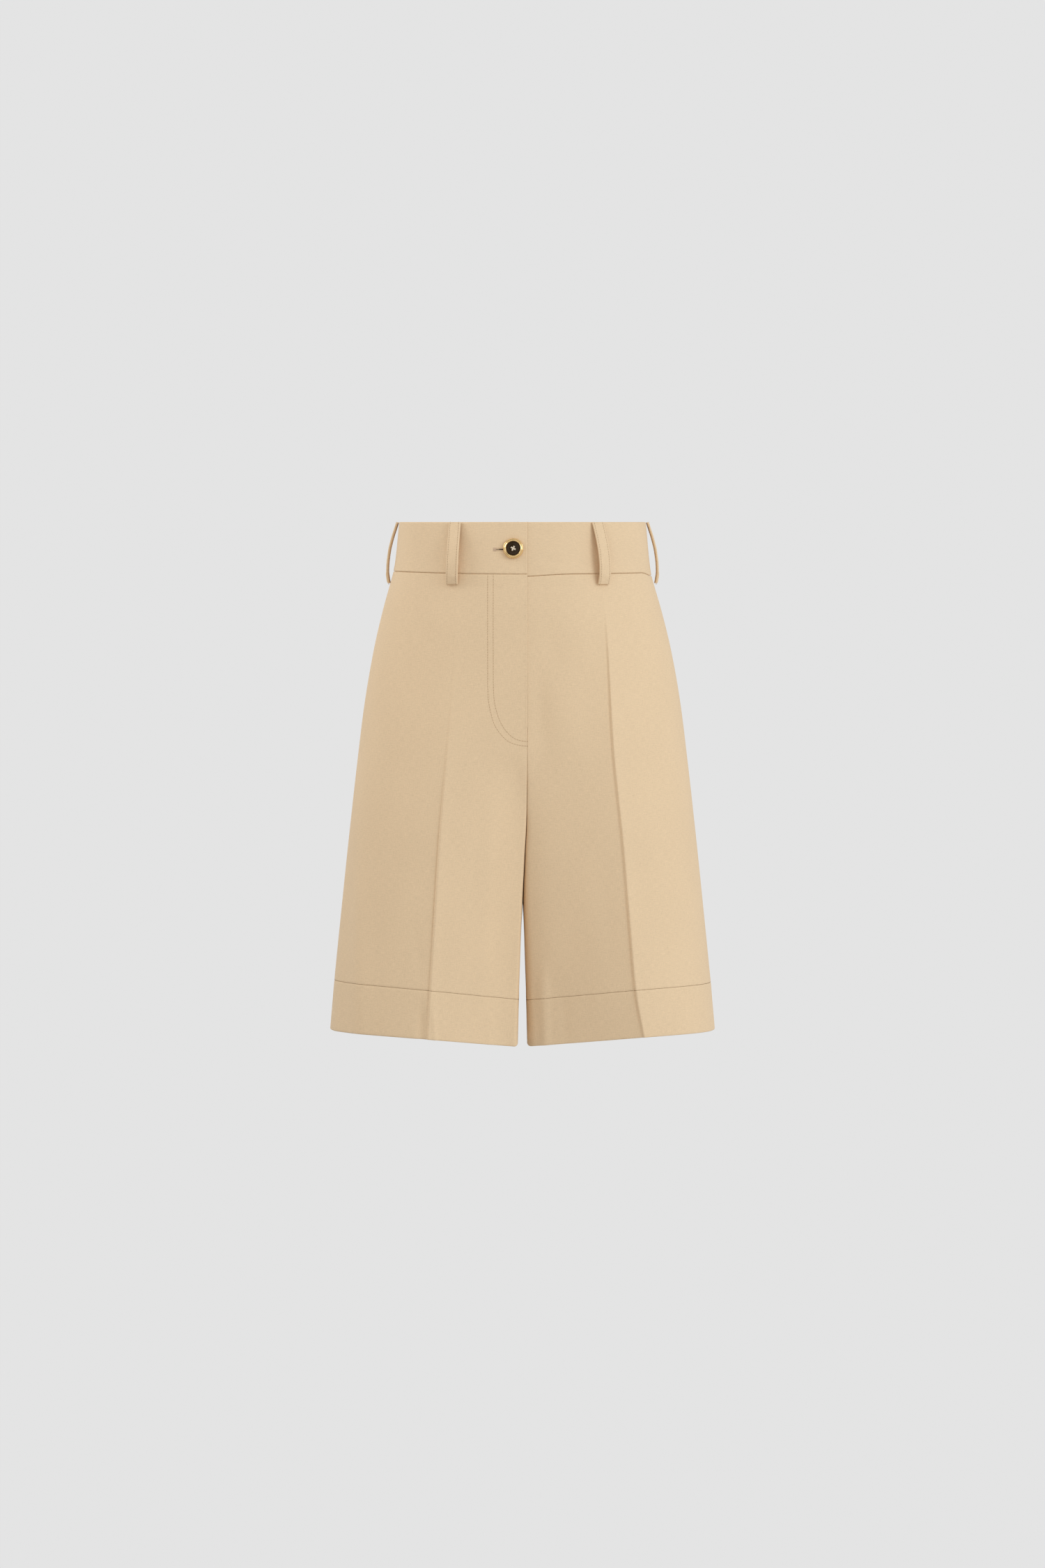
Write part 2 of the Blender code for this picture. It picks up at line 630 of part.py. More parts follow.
def main():
    for old in list(bpy.data.objects):
        bpy.data.objects.remove(old)
    cotton = material("cotton_gabardine", COTTON, 0.85)
    gold = material("gold_metal", GOLD, 0.2, metallic=1.0)
    horn = material("dark_horn", HORN, 0.25)
    shorts = bpy.data.objects.new("shorts", None)
    bpy.context.scene.collection.objects.link(shorts)

    for face in ("front", "back"):
        for side in ("right", "left"):
            make_panel(side, face, cotton, shorts)
    make_waistband(cotton, shorts)
    make_fly_shield(cotton, shorts)
    for loop in LOOPS[1:]:
        make_belt_loop(*loop, cotton, shorts)
    make_button_rim(gold, shorts)
    make_button_face(horn, shorts)


main()
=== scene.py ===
"""Bermuda shorts in beige cotton gabardine, pressed and filled out: the finish, on the fixed frame."""

import math

import bmesh
import bpy
import numpy as np
from mathutils import Matrix, Vector


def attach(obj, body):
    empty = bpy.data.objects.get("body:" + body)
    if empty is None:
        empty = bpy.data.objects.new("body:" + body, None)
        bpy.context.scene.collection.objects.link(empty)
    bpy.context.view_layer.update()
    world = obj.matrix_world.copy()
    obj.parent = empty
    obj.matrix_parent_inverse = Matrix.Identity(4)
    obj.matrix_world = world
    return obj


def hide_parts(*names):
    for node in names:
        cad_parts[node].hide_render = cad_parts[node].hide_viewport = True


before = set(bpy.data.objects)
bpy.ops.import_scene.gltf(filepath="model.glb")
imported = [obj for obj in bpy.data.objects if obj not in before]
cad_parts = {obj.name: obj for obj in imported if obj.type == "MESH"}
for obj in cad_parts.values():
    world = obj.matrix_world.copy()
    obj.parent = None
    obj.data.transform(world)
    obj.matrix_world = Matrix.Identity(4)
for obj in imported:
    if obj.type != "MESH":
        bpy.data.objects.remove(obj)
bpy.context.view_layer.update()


# --- Camera -------------------------------------------------------------------
# A long lens square to the front, level with the waist and aimed at the hips, so that the hems show their
# front edge and nothing of their inside.

CAMERA_DISTANCE = 7.0
CAMERA_AIM = Vector((0, 0, -0.260))
FRAME_HEIGHT = 1.5559  # of what the camera takes in at the garment, in metres
SENSOR = 36.0


def linked(name, data):
    """A new object that shows in the scene."""
    item = bpy.data.objects.new(name, data)
    bpy.context.scene.collection.objects.link(item)
    return item


lens = bpy.data.cameras.new("camera")
lens.sensor_width = SENSOR
lens.lens = SENSOR * CAMERA_DISTANCE / FRAME_HEIGHT
camera = linked("camera", lens)
camera.location = (0, -CAMERA_DISTANCE, 0)
camera.rotation_euler = (CAMERA_AIM - camera.location).to_track_quat("-Z", "Y").to_euler()
bpy.context.scene.camera = camera


# --- Studio -------------------------------------------------------------------
# An even pale surround does most of the lighting, and two broad soft boxes add the modelling: the stronger
# and cooler one in front on the wearer's left, and one square to the right side. A small pale floor lies
# well below the hems and fades into the surround. A tall dark flag stands behind the camera, which only
# polished things show, and one stands low on the wearer's right, which keeps that leg's edge from going pale.

SURROUND = 0.775
SOFT_BOX_SIZE = 2.2
SOFT_BOX_DISTANCE = 4.5
SOFT_BOXES = (
    ("name", "degrees round to the wearer's left", "degrees up", "watts", "coolness"),
    ("front_left", 50, 20, 73.0, 0.15),
    ("right_side", -90, 30, 69.5, 0.075),
)
FLOOR_DROP = 1.25
FLOOR_RADIUS = 1.25
FLOOR_TONE = 0.66
FLOOR_FADES_FROM = 0.4  # share of the radius
FLOOR_CORNERS = 48
FLAG_SIZE = (2.4, 6.0)
FLAG_PLACE = (-0.4, -8.2, 1.4)
LOW_FLAG = (-1.0, -0.6, 0.8, -1.2, -0.42)  # X, then its front and back edges and its lower and upper ones

world = bpy.data.worlds.new("studio")
world.use_nodes = True
world.node_tree.nodes["Background"].inputs["Color"].default_value = (SURROUND, SURROUND, SURROUND, 1)
bpy.context.scene.world = world
bpy.context.scene.view_settings.view_transform = "Standard"

for name, turned_by, raised_by, power, coolness in SOFT_BOXES[1:]:
    light = bpy.data.lights.new(name, "AREA")
    light.energy = power
    light.size = SOFT_BOX_SIZE
    light.color = (1 - coolness, 1.0, 1 + coolness)
    lamp = linked(name, light)
    aside, up = math.radians(turned_by), math.radians(raised_by)
    away = Vector((math.sin(aside) * math.cos(up), -math.cos(aside) * math.cos(up), math.sin(up)))
    lamp.location = CAMERA_AIM + away * SOFT_BOX_DISTANCE
    lamp.rotation_euler = away.to_track_quat("Z", "Y").to_euler()


def plain(name, colour, roughness, metallic=0.0, specular=0.5):
    """A material of one colour."""
    made = bpy.data.materials.new(name)
    made.use_nodes = True
    inputs = made.node_tree.nodes["Principled BSDF"].inputs
    inputs["Base Color"].default_value = (*colour, 1)
    inputs["Roughness"].default_value = roughness
    inputs["Metallic"].default_value = metallic
    inputs["Specular IOR Level"].default_value = specular
    return made


def add(nodes, kind, values=None, **settings):
    """A node of one kind, with its settings and the values of its inputs."""
    node = nodes.new(kind)
    for name, value in settings.items():
        setattr(node, name, value)
    for name, value in (values or {}).items():
        node.inputs[name].default_value = value
    return node


def plane(name, corners, material):
    """One flat face in the studio, which isn't part of the garment."""
    mesh = bpy.data.meshes.new(name)
    mesh.from_pydata(corners, [], [range(len(corners))])
    mesh.materials.append(material)
    flat = linked(name, mesh)
    return flat


paper = plain("pale_floor", (FLOOR_TONE, FLOOR_TONE, FLOOR_TONE), 0.9)
nodes, links = paper.node_tree.nodes, paper.node_tree.links
place = add(nodes, "ShaderNodeTexCoord")
flatten = add(nodes, "ShaderNodeVectorMath", {1: (1, 1, 0)}, operation="MULTIPLY")
distance = add(nodes, "ShaderNodeVectorMath", operation="LENGTH")
limits = {"From Min": FLOOR_RADIUS, "From Max": FLOOR_RADIUS * FLOOR_FADES_FROM}
fade = add(nodes, "ShaderNodeMapRange", limits, interpolation_type="SMOOTHSTEP")
links.new(place.outputs["Object"], flatten.inputs[0])
links.new(flatten.outputs[0], distance.inputs[0])
links.new(distance.outputs["Value"], fade.inputs["Value"])
links.new(fade.outputs["Result"], nodes["Principled BSDF"].inputs["Alpha"])
turns = np.linspace(0, 2 * math.pi, FLOOR_CORNERS, endpoint=False)
plane("floor", [(math.cos(a) * FLOOR_RADIUS, math.sin(a) * FLOOR_RADIUS, -FLOOR_DROP) for a in turns], paper)

black = plain("flag_cloth", (0.01, 0.01, 0.01), 1.0)
wide, tall = FLAG_SIZE
corners = [(x * wide / 2, 0, z * tall / 2) for x, z in ((-1, -1), (1, -1), (1, 1), (-1, 1))]
flag = plane("flag", [Vector(FLAG_PLACE) + Vector(corner) for corner in corners], black)
flag.visible_camera = flag.visible_diffuse = False
side, front, back, low, high = LOW_FLAG
corners = [(side, front, low), (side, back, low), (side, back, high), (side, front, high)]
plane("low_flag", corners, black).visible_camera = False


# --- Fronts and backs ---------------------------------------------------------
# Four panels of fine cotton gabardine, two to a leg, each pressed with a crease down its middle. They meet
# at the side seams, at the centre seams and along the inseams between the legs. The hem is turned up 48 mm
# on the inside and held by one row of stitching, and the right front laps over the left one at the fly.

MM = 0.001
BAND_HEIGHT = 51.0  # lengths in the cut are millimetres
CROTCH = 290.0
CROTCH_BACK = 6.0
HEM_DROP = 518.3
HEM_TILT = 0.080
HEM_FRONT_LIFT = 3.6
HEM_LIFT_DEPTH = 94.5
HEM_DEPTH = {"right": (46.8, 49.8), "left": (46.2, 47.6)}
HEM_CORNER = 2.8  # the hem's corner beside the other leg is rounded this much
HEM_TURNED_OVER = 2.2  # the turned-up hem reaches this far above its stitching
CLOTH = 1.2
HEM_CLOTH = 2.4
SEAM_GAP = 0.3
FLY_LAPPED_TO = 194.0
FLY_CLEAR_AT = 202.0
FLY_LEVEL_AT = 222.0
FLY_UNDER = -2.5
FLY_INSET = 0.5
LAP_CLOTH = 0.22  # the right front is pressed this thin along the fly
LAP_REACH = 10.0
LAP_RIM = {"height": 0.24, "inset": 0.9, "reach": 0.6}  # the folded edge of the lap stands a little proud
FLY_FADE = 34.0
ON_CROTCH = CROTCH - 1e-6

BODY = (
    ("drop", "half_width", "front", "back", "left_front"),
    (0, 122.2, 90, 96, 90),
    (48, 127.3, 95.5, 106, 95.5),
    (64, 131.5, 96.8, 109.5, 96.8),
    (84, 137.2, 98, 113.5, 98),
    (125, 147.1, 98.5, 120, 98.5),
    (180, 156.8, 97, 123.5, 97),
    (236, 163.8, 94.5, 122.5, 94.5),
    (290, 169.9, 91.5, 118, 91.5),
    (400, 180.5, 86.5, 111, 83),
    (520, 191.4, 82, 103, 73),
)
CREASES = {
    ("right", "front"): (
        ("drop", "width", "depth", "outer_slope", "inner_slope"),
        (0, 63, 77.2, 23.8, -23.8),
        (51, 64.2, 83, 23.4, -23.2),
        (123, 66.8, 91.2, 21.5, -14),
        (219, 72.9, 98.6, 18, -1),
        (314, 80.4, 102.5, 16, 4),
        (410, 86, 103.5, 14, 8),
        (520, 92.6, 102.5, 13, 9),
    ),
    ("left", "front"): (
        ("drop", "width", "depth", "outer_slope", "inner_slope"),
        (0, 76, 70.5, 30.2, -30.2),
        (51, 79, 75.4, 30, -29.5),
        (123, 83.8, 86.6, 28, -12),
        (219, 89.3, 97.5, 25, 3),
        (314, 98.8, 103.5, 22.5, 8.5),
        (410, 106.3, 105.5, 20.5, 12),
        (472, 111.6, 105, 20, 14),
        (520, 120, 103.5, 19.5, 15.5),
    ),
    ("both", "back"): (
        ("drop", "width", "depth", "outer_slope", "inner_slope"),
        (0, 66, 80.8, 26.7, -26.7),
        (51, 68, 91.2, 27.7, -26.7),
        (123, 72, 109, 26.5, -17),
        (180, 75, 117.5, 25.5, -9),
        (236, 79, 121, 23, -4),
        (314, 86, 120, 18, 1),
        (410, 92, 116, 14, 5),
        (520, 98, 110, 13, 6),
    ),
}
PULLS = (
    ("drop", "side", "outer", "inner", "centre"),
    (0, 0.41, 0.68, 0.33, 0.35),
    (123, 0.44, 0.66, 0.36, 0.38),
    (190, 0.48, 0.63, 0.4, 0.4),
    (290, 0.57, 0.58, 0.42, 0.4),
    (520, 0.6, 0.56, 0.42, 0.4),
)
CORNERS = (
    ("drop", "right", "right_fall", "left", "left_fall", "back", "back_fall"),
    (0, 20, 8, 20, 8, 20, 8),
    (190, 16, 8, 16, 8, 16, 8),
    (225, 6, 0.9, 8, 1.1, 11, 9),
    (275, 2, 0.6, 6, 1.2, 8, 13),
    (305, 2.5, 3.2, 6, 4.8, 8.5, 16),
    (400, 3, 6, 8, 9, 11, 24),
    (520, 4.5, 11, 10, 16, 18, 40),
)
INNER_DIP = (  # how much lower a front lies beside the other leg, fading over the reach
    ("drop", "right", "right_reach", "left", "left_reach"),
    (225, 0, 26, 0, 20),
    (257, 3.6, 24, 3.8, 20),
    (300, 6.6, 24, 7, 18),
    (350, 7.4, 26, 9.4, 16),
    (400, 6.6, 30, 11.4, 16),
    (520, 5.7, 34, 12, 18),
)
DIP_POWER = {"right": 2.0, "left": 1.25}
MIDDLE = (
    ("drop", "front_x", "back_x", "lean", "half_gap"),
    (0, 4.8, 0, 0, 0.06),
    (190, 4.8, 0, 0, 0.06),
    (222, 4.7, 0.6, 0, 0.06),
    (290, 4, 4, 1, 0.12),
    (330, 2.1, 2.1, 1, 0.25),
    (375, 0.3, 0.3, 0.7, 0.6),
    (400, 0, 0, 0.25, 1.4),
    (437, 0, 0, 0, 2.5),
    (465, 0, 0, 0, 3.4),
    (520, 0, 0, 0, 4.6),
)
FLY_EDGE = MIDDLE[1][1]
LEG_EDGE = MIDDLE[-1][-1]
WAIST_SEAM = {
    "right": {"side_rise": 2.2, "fly_sag": 0, "side_fall": 0},
    "left": {"side_rise": 1, "fly_sag": 2.3, "side_fall": 3.2},
}
FLY_SAG_WIDTH = 28.0
SIDE_FALL_FROM = 0.92  # the fall starts at this share of the waist's half width
WAIST_WIDTH = 128.3
ROWS_LEVEL_AT = 150.0
FORK = {"front": 226.0, "back": 205.0}
SEAM_VALLEY = 4.0
VALLEY_REACH = 10.0
SOFT_START = 1.25

CREASE_STAND = (  # how proud the pressed crease stands, in millimetres
    ("drop", "front_right", "front_left", "back_right", "back_left"),
    (90, 0, 0, 0, 0),
    (140, 0.2, 1.2, 0.1, 0.1),
    (200, 0.6, 1.7, 0.3, 0.4),
    (240, 1, 1.7, 0.5, 0.6),
    (300, 1.7, 1.6, 0.9, 1),
    (380, 1.9, 1.8, 1.1, 1.2),
    (470, 1.7, 1.8, 1.2, 1.1),
    (520, 1.3, 1.4, 1, 1),
)
CREASE_SOFT = {"from": 90.0, "full": 150.0, "to": 285.0, "depth": 1.3, "reach": 11.0}  # on the right front
CREASE_STEEP = 1.5  # it leans, with a steep side towards the wearer's right and a slack one towards the left
CREASE_SLACK = 8.0
CREASE_POWER = 1.3
CREASE_DITCH = {"share": 0.42, "distance": 2.1, "reach": 1.0}  # a ditch along the fronts' steep sides

# Soft ridges, and troughs where the height is negative, each from one point of the cloth to another:
# across, drop, to_across, to_drop, half_width, height and the length over which its ends fade.
FOLDS = {
    ("front", "right"): (
        (-13.5, 60, -6.5, 212, 2.8, 1.1, 40),
        (-18, 70, -11.5, 205, 3.4, -0.7, 40),
        (6, 66, 62, 62, 4, -0.35, 20),
        (29, 240, 40, 560, 9.5, 1, 90),
        (98, 462, 100, 545, 4.6, -2.1, 32),
        (88, 466, 84, 545, 2.6, 0.9, 22),
        (30, 462, 29, 545, 4.5, 0.7, 26),
        (107, 385, 101, 452, 5, -0.55, 30),
        (177, 290, 162, 580, 12, 2.4, 120),
        (206, 290, 191, 580, 14, -1.6, 120),
        (120, 90, 146, 300, 16, 0.8, 90),
        (92, 70, 88, 120, 11, 0.7, 30),
    ),
    ("front", "left"): (
        (20, 72, 40, 182, 11, -0.9, 60),
        (16, 118, 20, 252, 9, -1.3, 60),
        (40, 118, 46, 262, 17, 1, 60),
        (14, 65, 52, 61, 3.6, -0.45, 18),
        (46, 84, 78, 170, 13, 0.9, 60),
        (16, 425, 17, 545, 4.6, 1.7, 40),
        (9, 440, 10, 505, 1.8, 0.5, 20),
        (34, 440, 40, 545, 6, -0.6, 50),
        (120, 330, 132, 560, 14, 0.7, 120),
        (72, 300, 92, 470, 12, -0.6, 90),
        (150, 110, 168, 330, 16, 0.8, 110),
    ),
    ("back", "right"): (
        (18, 215, 64, 262, 9, -1.6, 34),
        (14, 240, 52, 296, 8, 1.1, 34),
        (12, 268, 40, 345, 7, -1.2, 44),
        (34, 70, 40, 180, 10, 0.7, 60),
        (118, 84, 150, 300, 16, 1.2, 110),
        (140, 300, 168, 560, 15, -1.3, 130),
        (48, 380, 42, 560, 10, 0.8, 90),
        (104, 450, 98, 545, 4.5, -1.2, 34),
    ),
    ("back", "left"): (
        (16, 208, 58, 250, 8, -1.3, 30),
        (15, 236, 60, 286, 10, 1.3, 38),
        (12, 275, 34, 352, 7, -1, 44),
        (52, 80, 58, 165, 12, 0.6, 50),
        (126, 100, 158, 320, 15, 1, 110),
        (150, 330, 172, 560, 14, -1.1, 120),
        (36, 400, 33, 560, 8, 0.9, 80),
        (108, 440, 104, 545, 5, -0.9, 36),
    ),
}
PUCKER = (8.5, 1.7, 0.31, 0.13)  # gathers along a row of stitching: step, sway, sway rate, swell rate
PUCKER_HEIGHT = 0.16
WAIST_PUCKER = 0.7  # share of it along the waist seam
PUCKER_REACH = 6.0
STITCH_DITCH = 0.32  # how deep a row of stitching pulls the cloth in
DITCH_REACH = 0.8
ROUND_SHARE = 0.98  # a rounded edge ends just short of square
EDGE_ROUND = {"waist": 1.0, "hem": 1.15, "side": 0.75, "middle": 0.25}

COLUMNS = {"outer": 58, "face": 46, "wall": 30}  # from the side seam to the crease, the corner and the inseam
CROWDING = {"outer": 1.55, "face": 1.6, "wall": 1.35}  # how much closer they lie at the crease and corner
ROWS = {"hip": 60, "fly": 4, "level": 8, "fork": 30, "leg": 73, "hem": 19}
HEM_STEPS = (0.7, 1.4, 2.6, 4.2)  # distances of the rows next to the hem's stitching
LAST_LEG_ROW = 0.6  # its distance above the hem's turned edge
FLAT_COLUMN = 20  # a column on the plain of every panel, between the side seam and the crease
CURVE_STEPS = 120
CORNER_STEPS = 40
INSEAM_STEPS = 24
EDGE_STEPS = (0.0, 0.25, 0.6, 1.2)  # distances of the finest rows and columns from an edge
SHARP = math.radians(50)
INSIDE_RUN = 1000.0  # the weave of a wall's inside starts this far on


def hermite(t, start, end, leaving, arriving):
    """A smooth curve between two values, with its slopes there over the whole step."""
    rising = start * (1 + 2 * t) * (1 - t) ** 2 + leaving * t * (1 - t) ** 2
    return rising + end * t * t * (3 - 2 * t) + arriving * t * t * (t - 1)


def read(table, column, at):
    """A column of a table at one value of its first column, on a curve that doesn't overshoot the rows."""
    rows = np.array(table[1:], float)
    x, y = rows[:, 0], rows[:, table[0].index(column)]
    run, rise = np.diff(x), np.diff(y) / np.diff(x)
    slope = np.concatenate([rise[:1], np.zeros(len(x) - 2), rise[-1:]])
    for i in range(1, len(x) - 1):
        if rise[i - 1] * rise[i] > 0:
            before, after = 2 * run[i] + run[i - 1], run[i] + 2 * run[i - 1]
            slope[i] = (before + after) / (before / rise[i - 1] + after / rise[i])
    at = min(max(at, x[0]), x[-1])
    k = min(max(int(np.searchsorted(x, at)) - 1, 0), len(run) - 1)
    return hermite((at - x[k]) / run[k], y[k], y[k + 1], slope[k] * run[k], slope[k + 1] * run[k])


def ease(value, start=0.0, end=1.0):
    """0 before the start, 1 past the end, and a smooth rise between."""
    t = np.clip((value - start) / (end - start), 0.0, 1.0)
    return t * t * (3 - 2 * t)


def hump(distance, reach):
    """1 at no distance, falling smoothly to nothing on both sides."""
    return np.exp(-((distance / reach) ** 2))


def mix(a, b, share):
    return a * (1 - share) + b * share


def steps(count):
    """Even shares up to 1, without the 0."""
    return np.linspace(0, 1, count + 1)[1:]


def bezier(p0, p1, p2, p3):
    """Points on a cubic curve, both ends included."""
    t = np.linspace(0, 1, CURVE_STEPS + 1)[:, None]
    return (1 - t) ** 3 * p0 + 3 * t * (1 - t) ** 2 * p1 + 3 * t * t * (1 - t) * p2 + t**3 * p3


def heading(degrees):
    return np.array([math.cos(math.radians(degrees)), math.sin(math.radians(degrees))])


def sign(side):
    return 1 if side == "left" else -1


def crease_table(side, face):
    return CREASES[("both", "back") if face == "back" else (side, face)]


def measured(points):
    """Distance run along a line of points, from its first."""
    return np.concatenate([[0], np.cumsum(np.linalg.norm(np.diff(points, axis=0), axis=1))])


def at_runs(points, run, stops):
    """The points of a line at some distances along it."""
    return np.column_stack([np.interp(stops, run, column) for column in points.T])


def section(side, face, drop):
    """A panel's level section: (width, depth) points from the side seam to the middle, and each one's run.

    The run is measured from the crease, positive towards the side seam. Columns are closest at the crease
    and at the two edges.
    """
    table = crease_table(side, face)
    crease = np.array([read(table, "width", drop), read(table, "depth", drop)])
    side_seam = np.array([read(BODY, "half_width", drop), 0.0])
    from_seam = side_seam + [0, read(PULLS, "side", drop) * crease[1]]
    reach = read(PULLS, "outer", drop) * (side_seam[0] - crease[0])
    to_crease = crease + heading(-read(table, "outer_slope", drop)) * reach
    outer = bezier(side_seam, from_seam, to_crease, crease)
    inner, corner = inner_line(side, face, drop, crease)

    fine = np.array(EDGE_STEPS)
    run = measured(outer)
    spread = mix(fine[-1], run[-1], 1 - (1 - steps(COLUMNS["outer"])) ** CROWDING["outer"])
    stops = np.concatenate([fine, spread])
    outside = at_runs(outer, run, stops)
    outside_run = run[-1] - stops

    run = measured(inner)
    across = run[corner] * steps(COLUMNS["face"]) ** CROWDING["face"]
    rest = mix(run[corner], run[-1] - fine[-1], steps(COLUMNS["wall"]) ** CROWDING["wall"])
    stops = np.concatenate([across, rest, (run[-1] - fine)[-2::-1]])
    return np.vstack([outside, at_runs(inner, run, stops)]), np.concatenate([outside_run, -stops])


def centre_depth(side, face, drop):
    """Depth of a panel's face next to the centre seam, or to the inseam below it."""
    return read(BODY, "left_front" if (side, face) == ("left", "front") else face, drop)


def seam_width(side, face, drop):
    """Width of a panel's edge at the centre seam or the inseam, which is negative past the middle plane."""
    return sign(side) * read(MIDDLE, face + "_x", drop) + read(MIDDLE, "half_gap", drop)


def inner_line(side, face, drop, crease):
    """Points from the crease across and round into the space between the legs, and the corner's place."""
    edge, centre = seam_width(side, face, drop), centre_depth(side, face, drop)
    reach = read(PULLS, "inner", drop) * crease[0]
    from_crease = crease + heading(180 + read(crease_table(side, face), "inner_slope", drop)) * reach
    near_middle = (edge + read(PULLS, "centre", drop) * crease[0], centre)
    flat = bezier(crease, from_crease, near_middle, (edge, centre))

    # The corner is a quarter of an ellipse, and the wall behind it runs straight back to the inseam.
    corner = side if face == "front" else "back"
    across, back = read(CORNERS, corner, drop), read(CORNERS, corner + "_fall", drop)
    wall = centre + (CROTCH_BACK if face == "front" else -CROTCH_BACK)
    turn = np.linspace(0, math.pi / 2, CORNER_STEPS)
    before = flat[flat[:, 0] > edge + across, 0]
    width = np.concatenate([before, edge + across * (1 - np.sin(turn)), np.full(INSEAM_STEPS, edge)])
    rounding = back * (1 - np.cos(turn)) ** SOFT_START
    fall = np.concatenate([0 * before, rounding, mix(back, wall, steps(INSEAM_STEPS))])

    # Between the fork and the crotch it stops on the centre seam, which curves under until it runs level.
    under = min(1.0, max(0.0, (drop - FORK[face]) / (CROTCH - FORK[face])))
    seam_fall = wall * (1 - math.sqrt(1 - under**3))
    valley = SEAM_VALLEY * 4 * under * (1 - under) * hump(width - edge, VALLEY_REACH)
    fall = (fall + seam_fall - np.hypot(fall - seam_fall, valley)) / 2
    lean = read(MIDDLE, "lean", drop) * sign(side) * (1 if face == "front" else -1)
    bowed = width + lean * np.sin(math.pi * np.clip((fall - back) / (wall - back), 0, 1))
    depth = np.interp(-width, -flat[:, 0], flat[:, 1]) - fall
    if face == "front" and drop > INNER_DIP[1][0]:
        near = (width - edge) / read(INNER_DIP, side + "_reach", drop)
        dip = read(INNER_DIP, side, drop) * np.exp(-(near ** DIP_POWER[side]))
        depth -= dip * (1 - fall / wall)
    return np.column_stack([bowed, depth]), len(before)


def front_depth(x, drop):
    """Depth of the front surface at any X, on either side of the centre seam."""
    side = "left" if x > read(MIDDLE, "front_x", drop) else "right"
    points = section(side, "front", drop)[0][::-1]
    return float(np.interp(sign(side) * x, points[:, 0], points[:, 1]))


def placed(side, face, width, depth, drop):
    """Positions in millimetres: x to the wearer's left, y to the back, z up."""
    return np.stack([sign(side) * width, -depth if face == "front" else depth, -drop], axis=-1)


def waist_seam_shift(side, face, width):
    """How much lower the waist seam is than the band's plain height."""
    shape = WAIST_SEAM[side]
    sag = shape["fly_sag"] * hump(np.maximum(width, 0), FLY_SAG_WIDTH) if face == "front" else 0.0
    fall = shape["side_fall"] * ease(width / WAIST_WIDTH, SIDE_FALL_FROM)
    return sag + fall - shape["side_rise"] * (width / WAIST_WIDTH) ** 2


def row_drops(side):
    """Drops of a panel's rows at the inseam, and the row on which the hem is stitched."""
    top = BAND_HEIGHT + np.array(EDGE_STEPS)
    hip = mix(top[-1], FLY_LAPPED_TO, steps(ROWS["hip"]))
    fly = mix(FLY_LAPPED_TO, FLY_CLEAR_AT, steps(ROWS["fly"]))
    level = mix(FLY_CLEAR_AT, FLY_LEVEL_AT, steps(ROWS["level"]))
    fork = mix(FLY_LEVEL_AT, CROTCH, np.sin(math.pi / 2 * steps(ROWS["fork"])))
    stitching = HEM_DROP - HEM_DEPTH[side][0]
    over = stitching - HEM_TURNED_OVER
    leg = mix(CROTCH, over - LAST_LEG_ROW, steps(ROWS["leg"]))
    above = [over, stitching - HEM_STEPS[1], stitching - HEM_STEPS[0]]
    rows = np.concatenate([top, hip, fly, level, fork, leg, above])
    below = stitching + np.array((0.0,) + HEM_STEPS[:-1])
    hem = np.linspace(stitching + HEM_STEPS[-1], HEM_DROP - EDGE_STEPS[-1], ROWS["hem"])
    edge = HEM_DROP - np.array(EDGE_STEPS)[-2::-1]
    return np.concatenate([rows, below, hem, edge]), len(rows)


def row_level(side, face, width, depth, drop):
    """Drops of one row's points: level at the crotch, and along the seams at the waist and the hem."""
    if drop <= CROTCH:
        fade = max(0.0, (ROWS_LEVEL_AT - drop) / (ROWS_LEVEL_AT - BAND_HEIGHT))
        return drop + waist_seam_shift(side, face, width) * fade
    lift = HEM_FRONT_LIFT * (depth / HEM_LIFT_DEPTH) ** 2 if face == "front" else 0.0
    hem = HEM_DROP - HEM_TILT * (width - LEG_EDGE) - lift
    at_inseam, at_side = HEM_DEPTH[side]
    stitching = hem - mix(at_inseam, at_side, width / BODY[-1][1])
    hem -= round_off(width - LEG_EDGE, HEM_CORNER)
    lowest = HEM_DROP - at_inseam
    if drop <= lowest:
        return mix(CROTCH, stitching, (drop - CROTCH) / (lowest - CROTCH))
    return mix(stitching, hem, (drop - lowest) / at_inseam)


def unit(vectors):
    """The same directions at length 1."""
    return vectors / np.linalg.norm(vectors, axis=-1, keepdims=True)


def normals(grid, out):
    """Unit normals of a grid of points, on the side that a direction points to at the grid's middle."""
    normal = unit(np.cross(np.gradient(grid, axis=1), np.gradient(grid, axis=0)))
    middle = normal[len(grid) // 2, grid.shape[1] // 2]
    return normal if np.dot(middle, out) > 0 else -normal


def round_off(distance, radius):
    """How far a surface falls back near its edge, as a quarter round does."""
    short = np.clip(1 - distance / radius, 0, 1)
    return radius * (1 - np.sqrt(1 - short**2 * ROUND_SHARE))


def lap_rim(from_edge):
    return LAP_RIM["height"] * hump(from_edge - LAP_RIM["inset"], LAP_RIM["reach"])


def folds(table, across, drop):
    """Height of all the folds of a table at each point of the cloth."""
    height = np.zeros_like(across)
    for x0, z0, x1, z1, half_width, rise, fade in table:
        line = np.array([x1 - x0, z1 - z0])
        length = np.linalg.norm(line)
        line = line / length
        along = (across - x0) * line[0] + (drop - z0) * line[1]
        off = (across - x0) * line[1] - (drop - z0) * line[0]
        share = ease(along / fade) * ease((length - along) / fade)
        height += rise * share * hump(off, half_width)
    return height


def gathers(run, step, sway, sway_rate, swell_rate):
    """Small uneven waves along a row of stitching, between -1 and 1."""
    wave = np.sin(run * 2 * math.pi / step + sway * np.sin(run * sway_rate))
    return wave * (0.6 + 0.4 * np.sin(run * swell_rate))


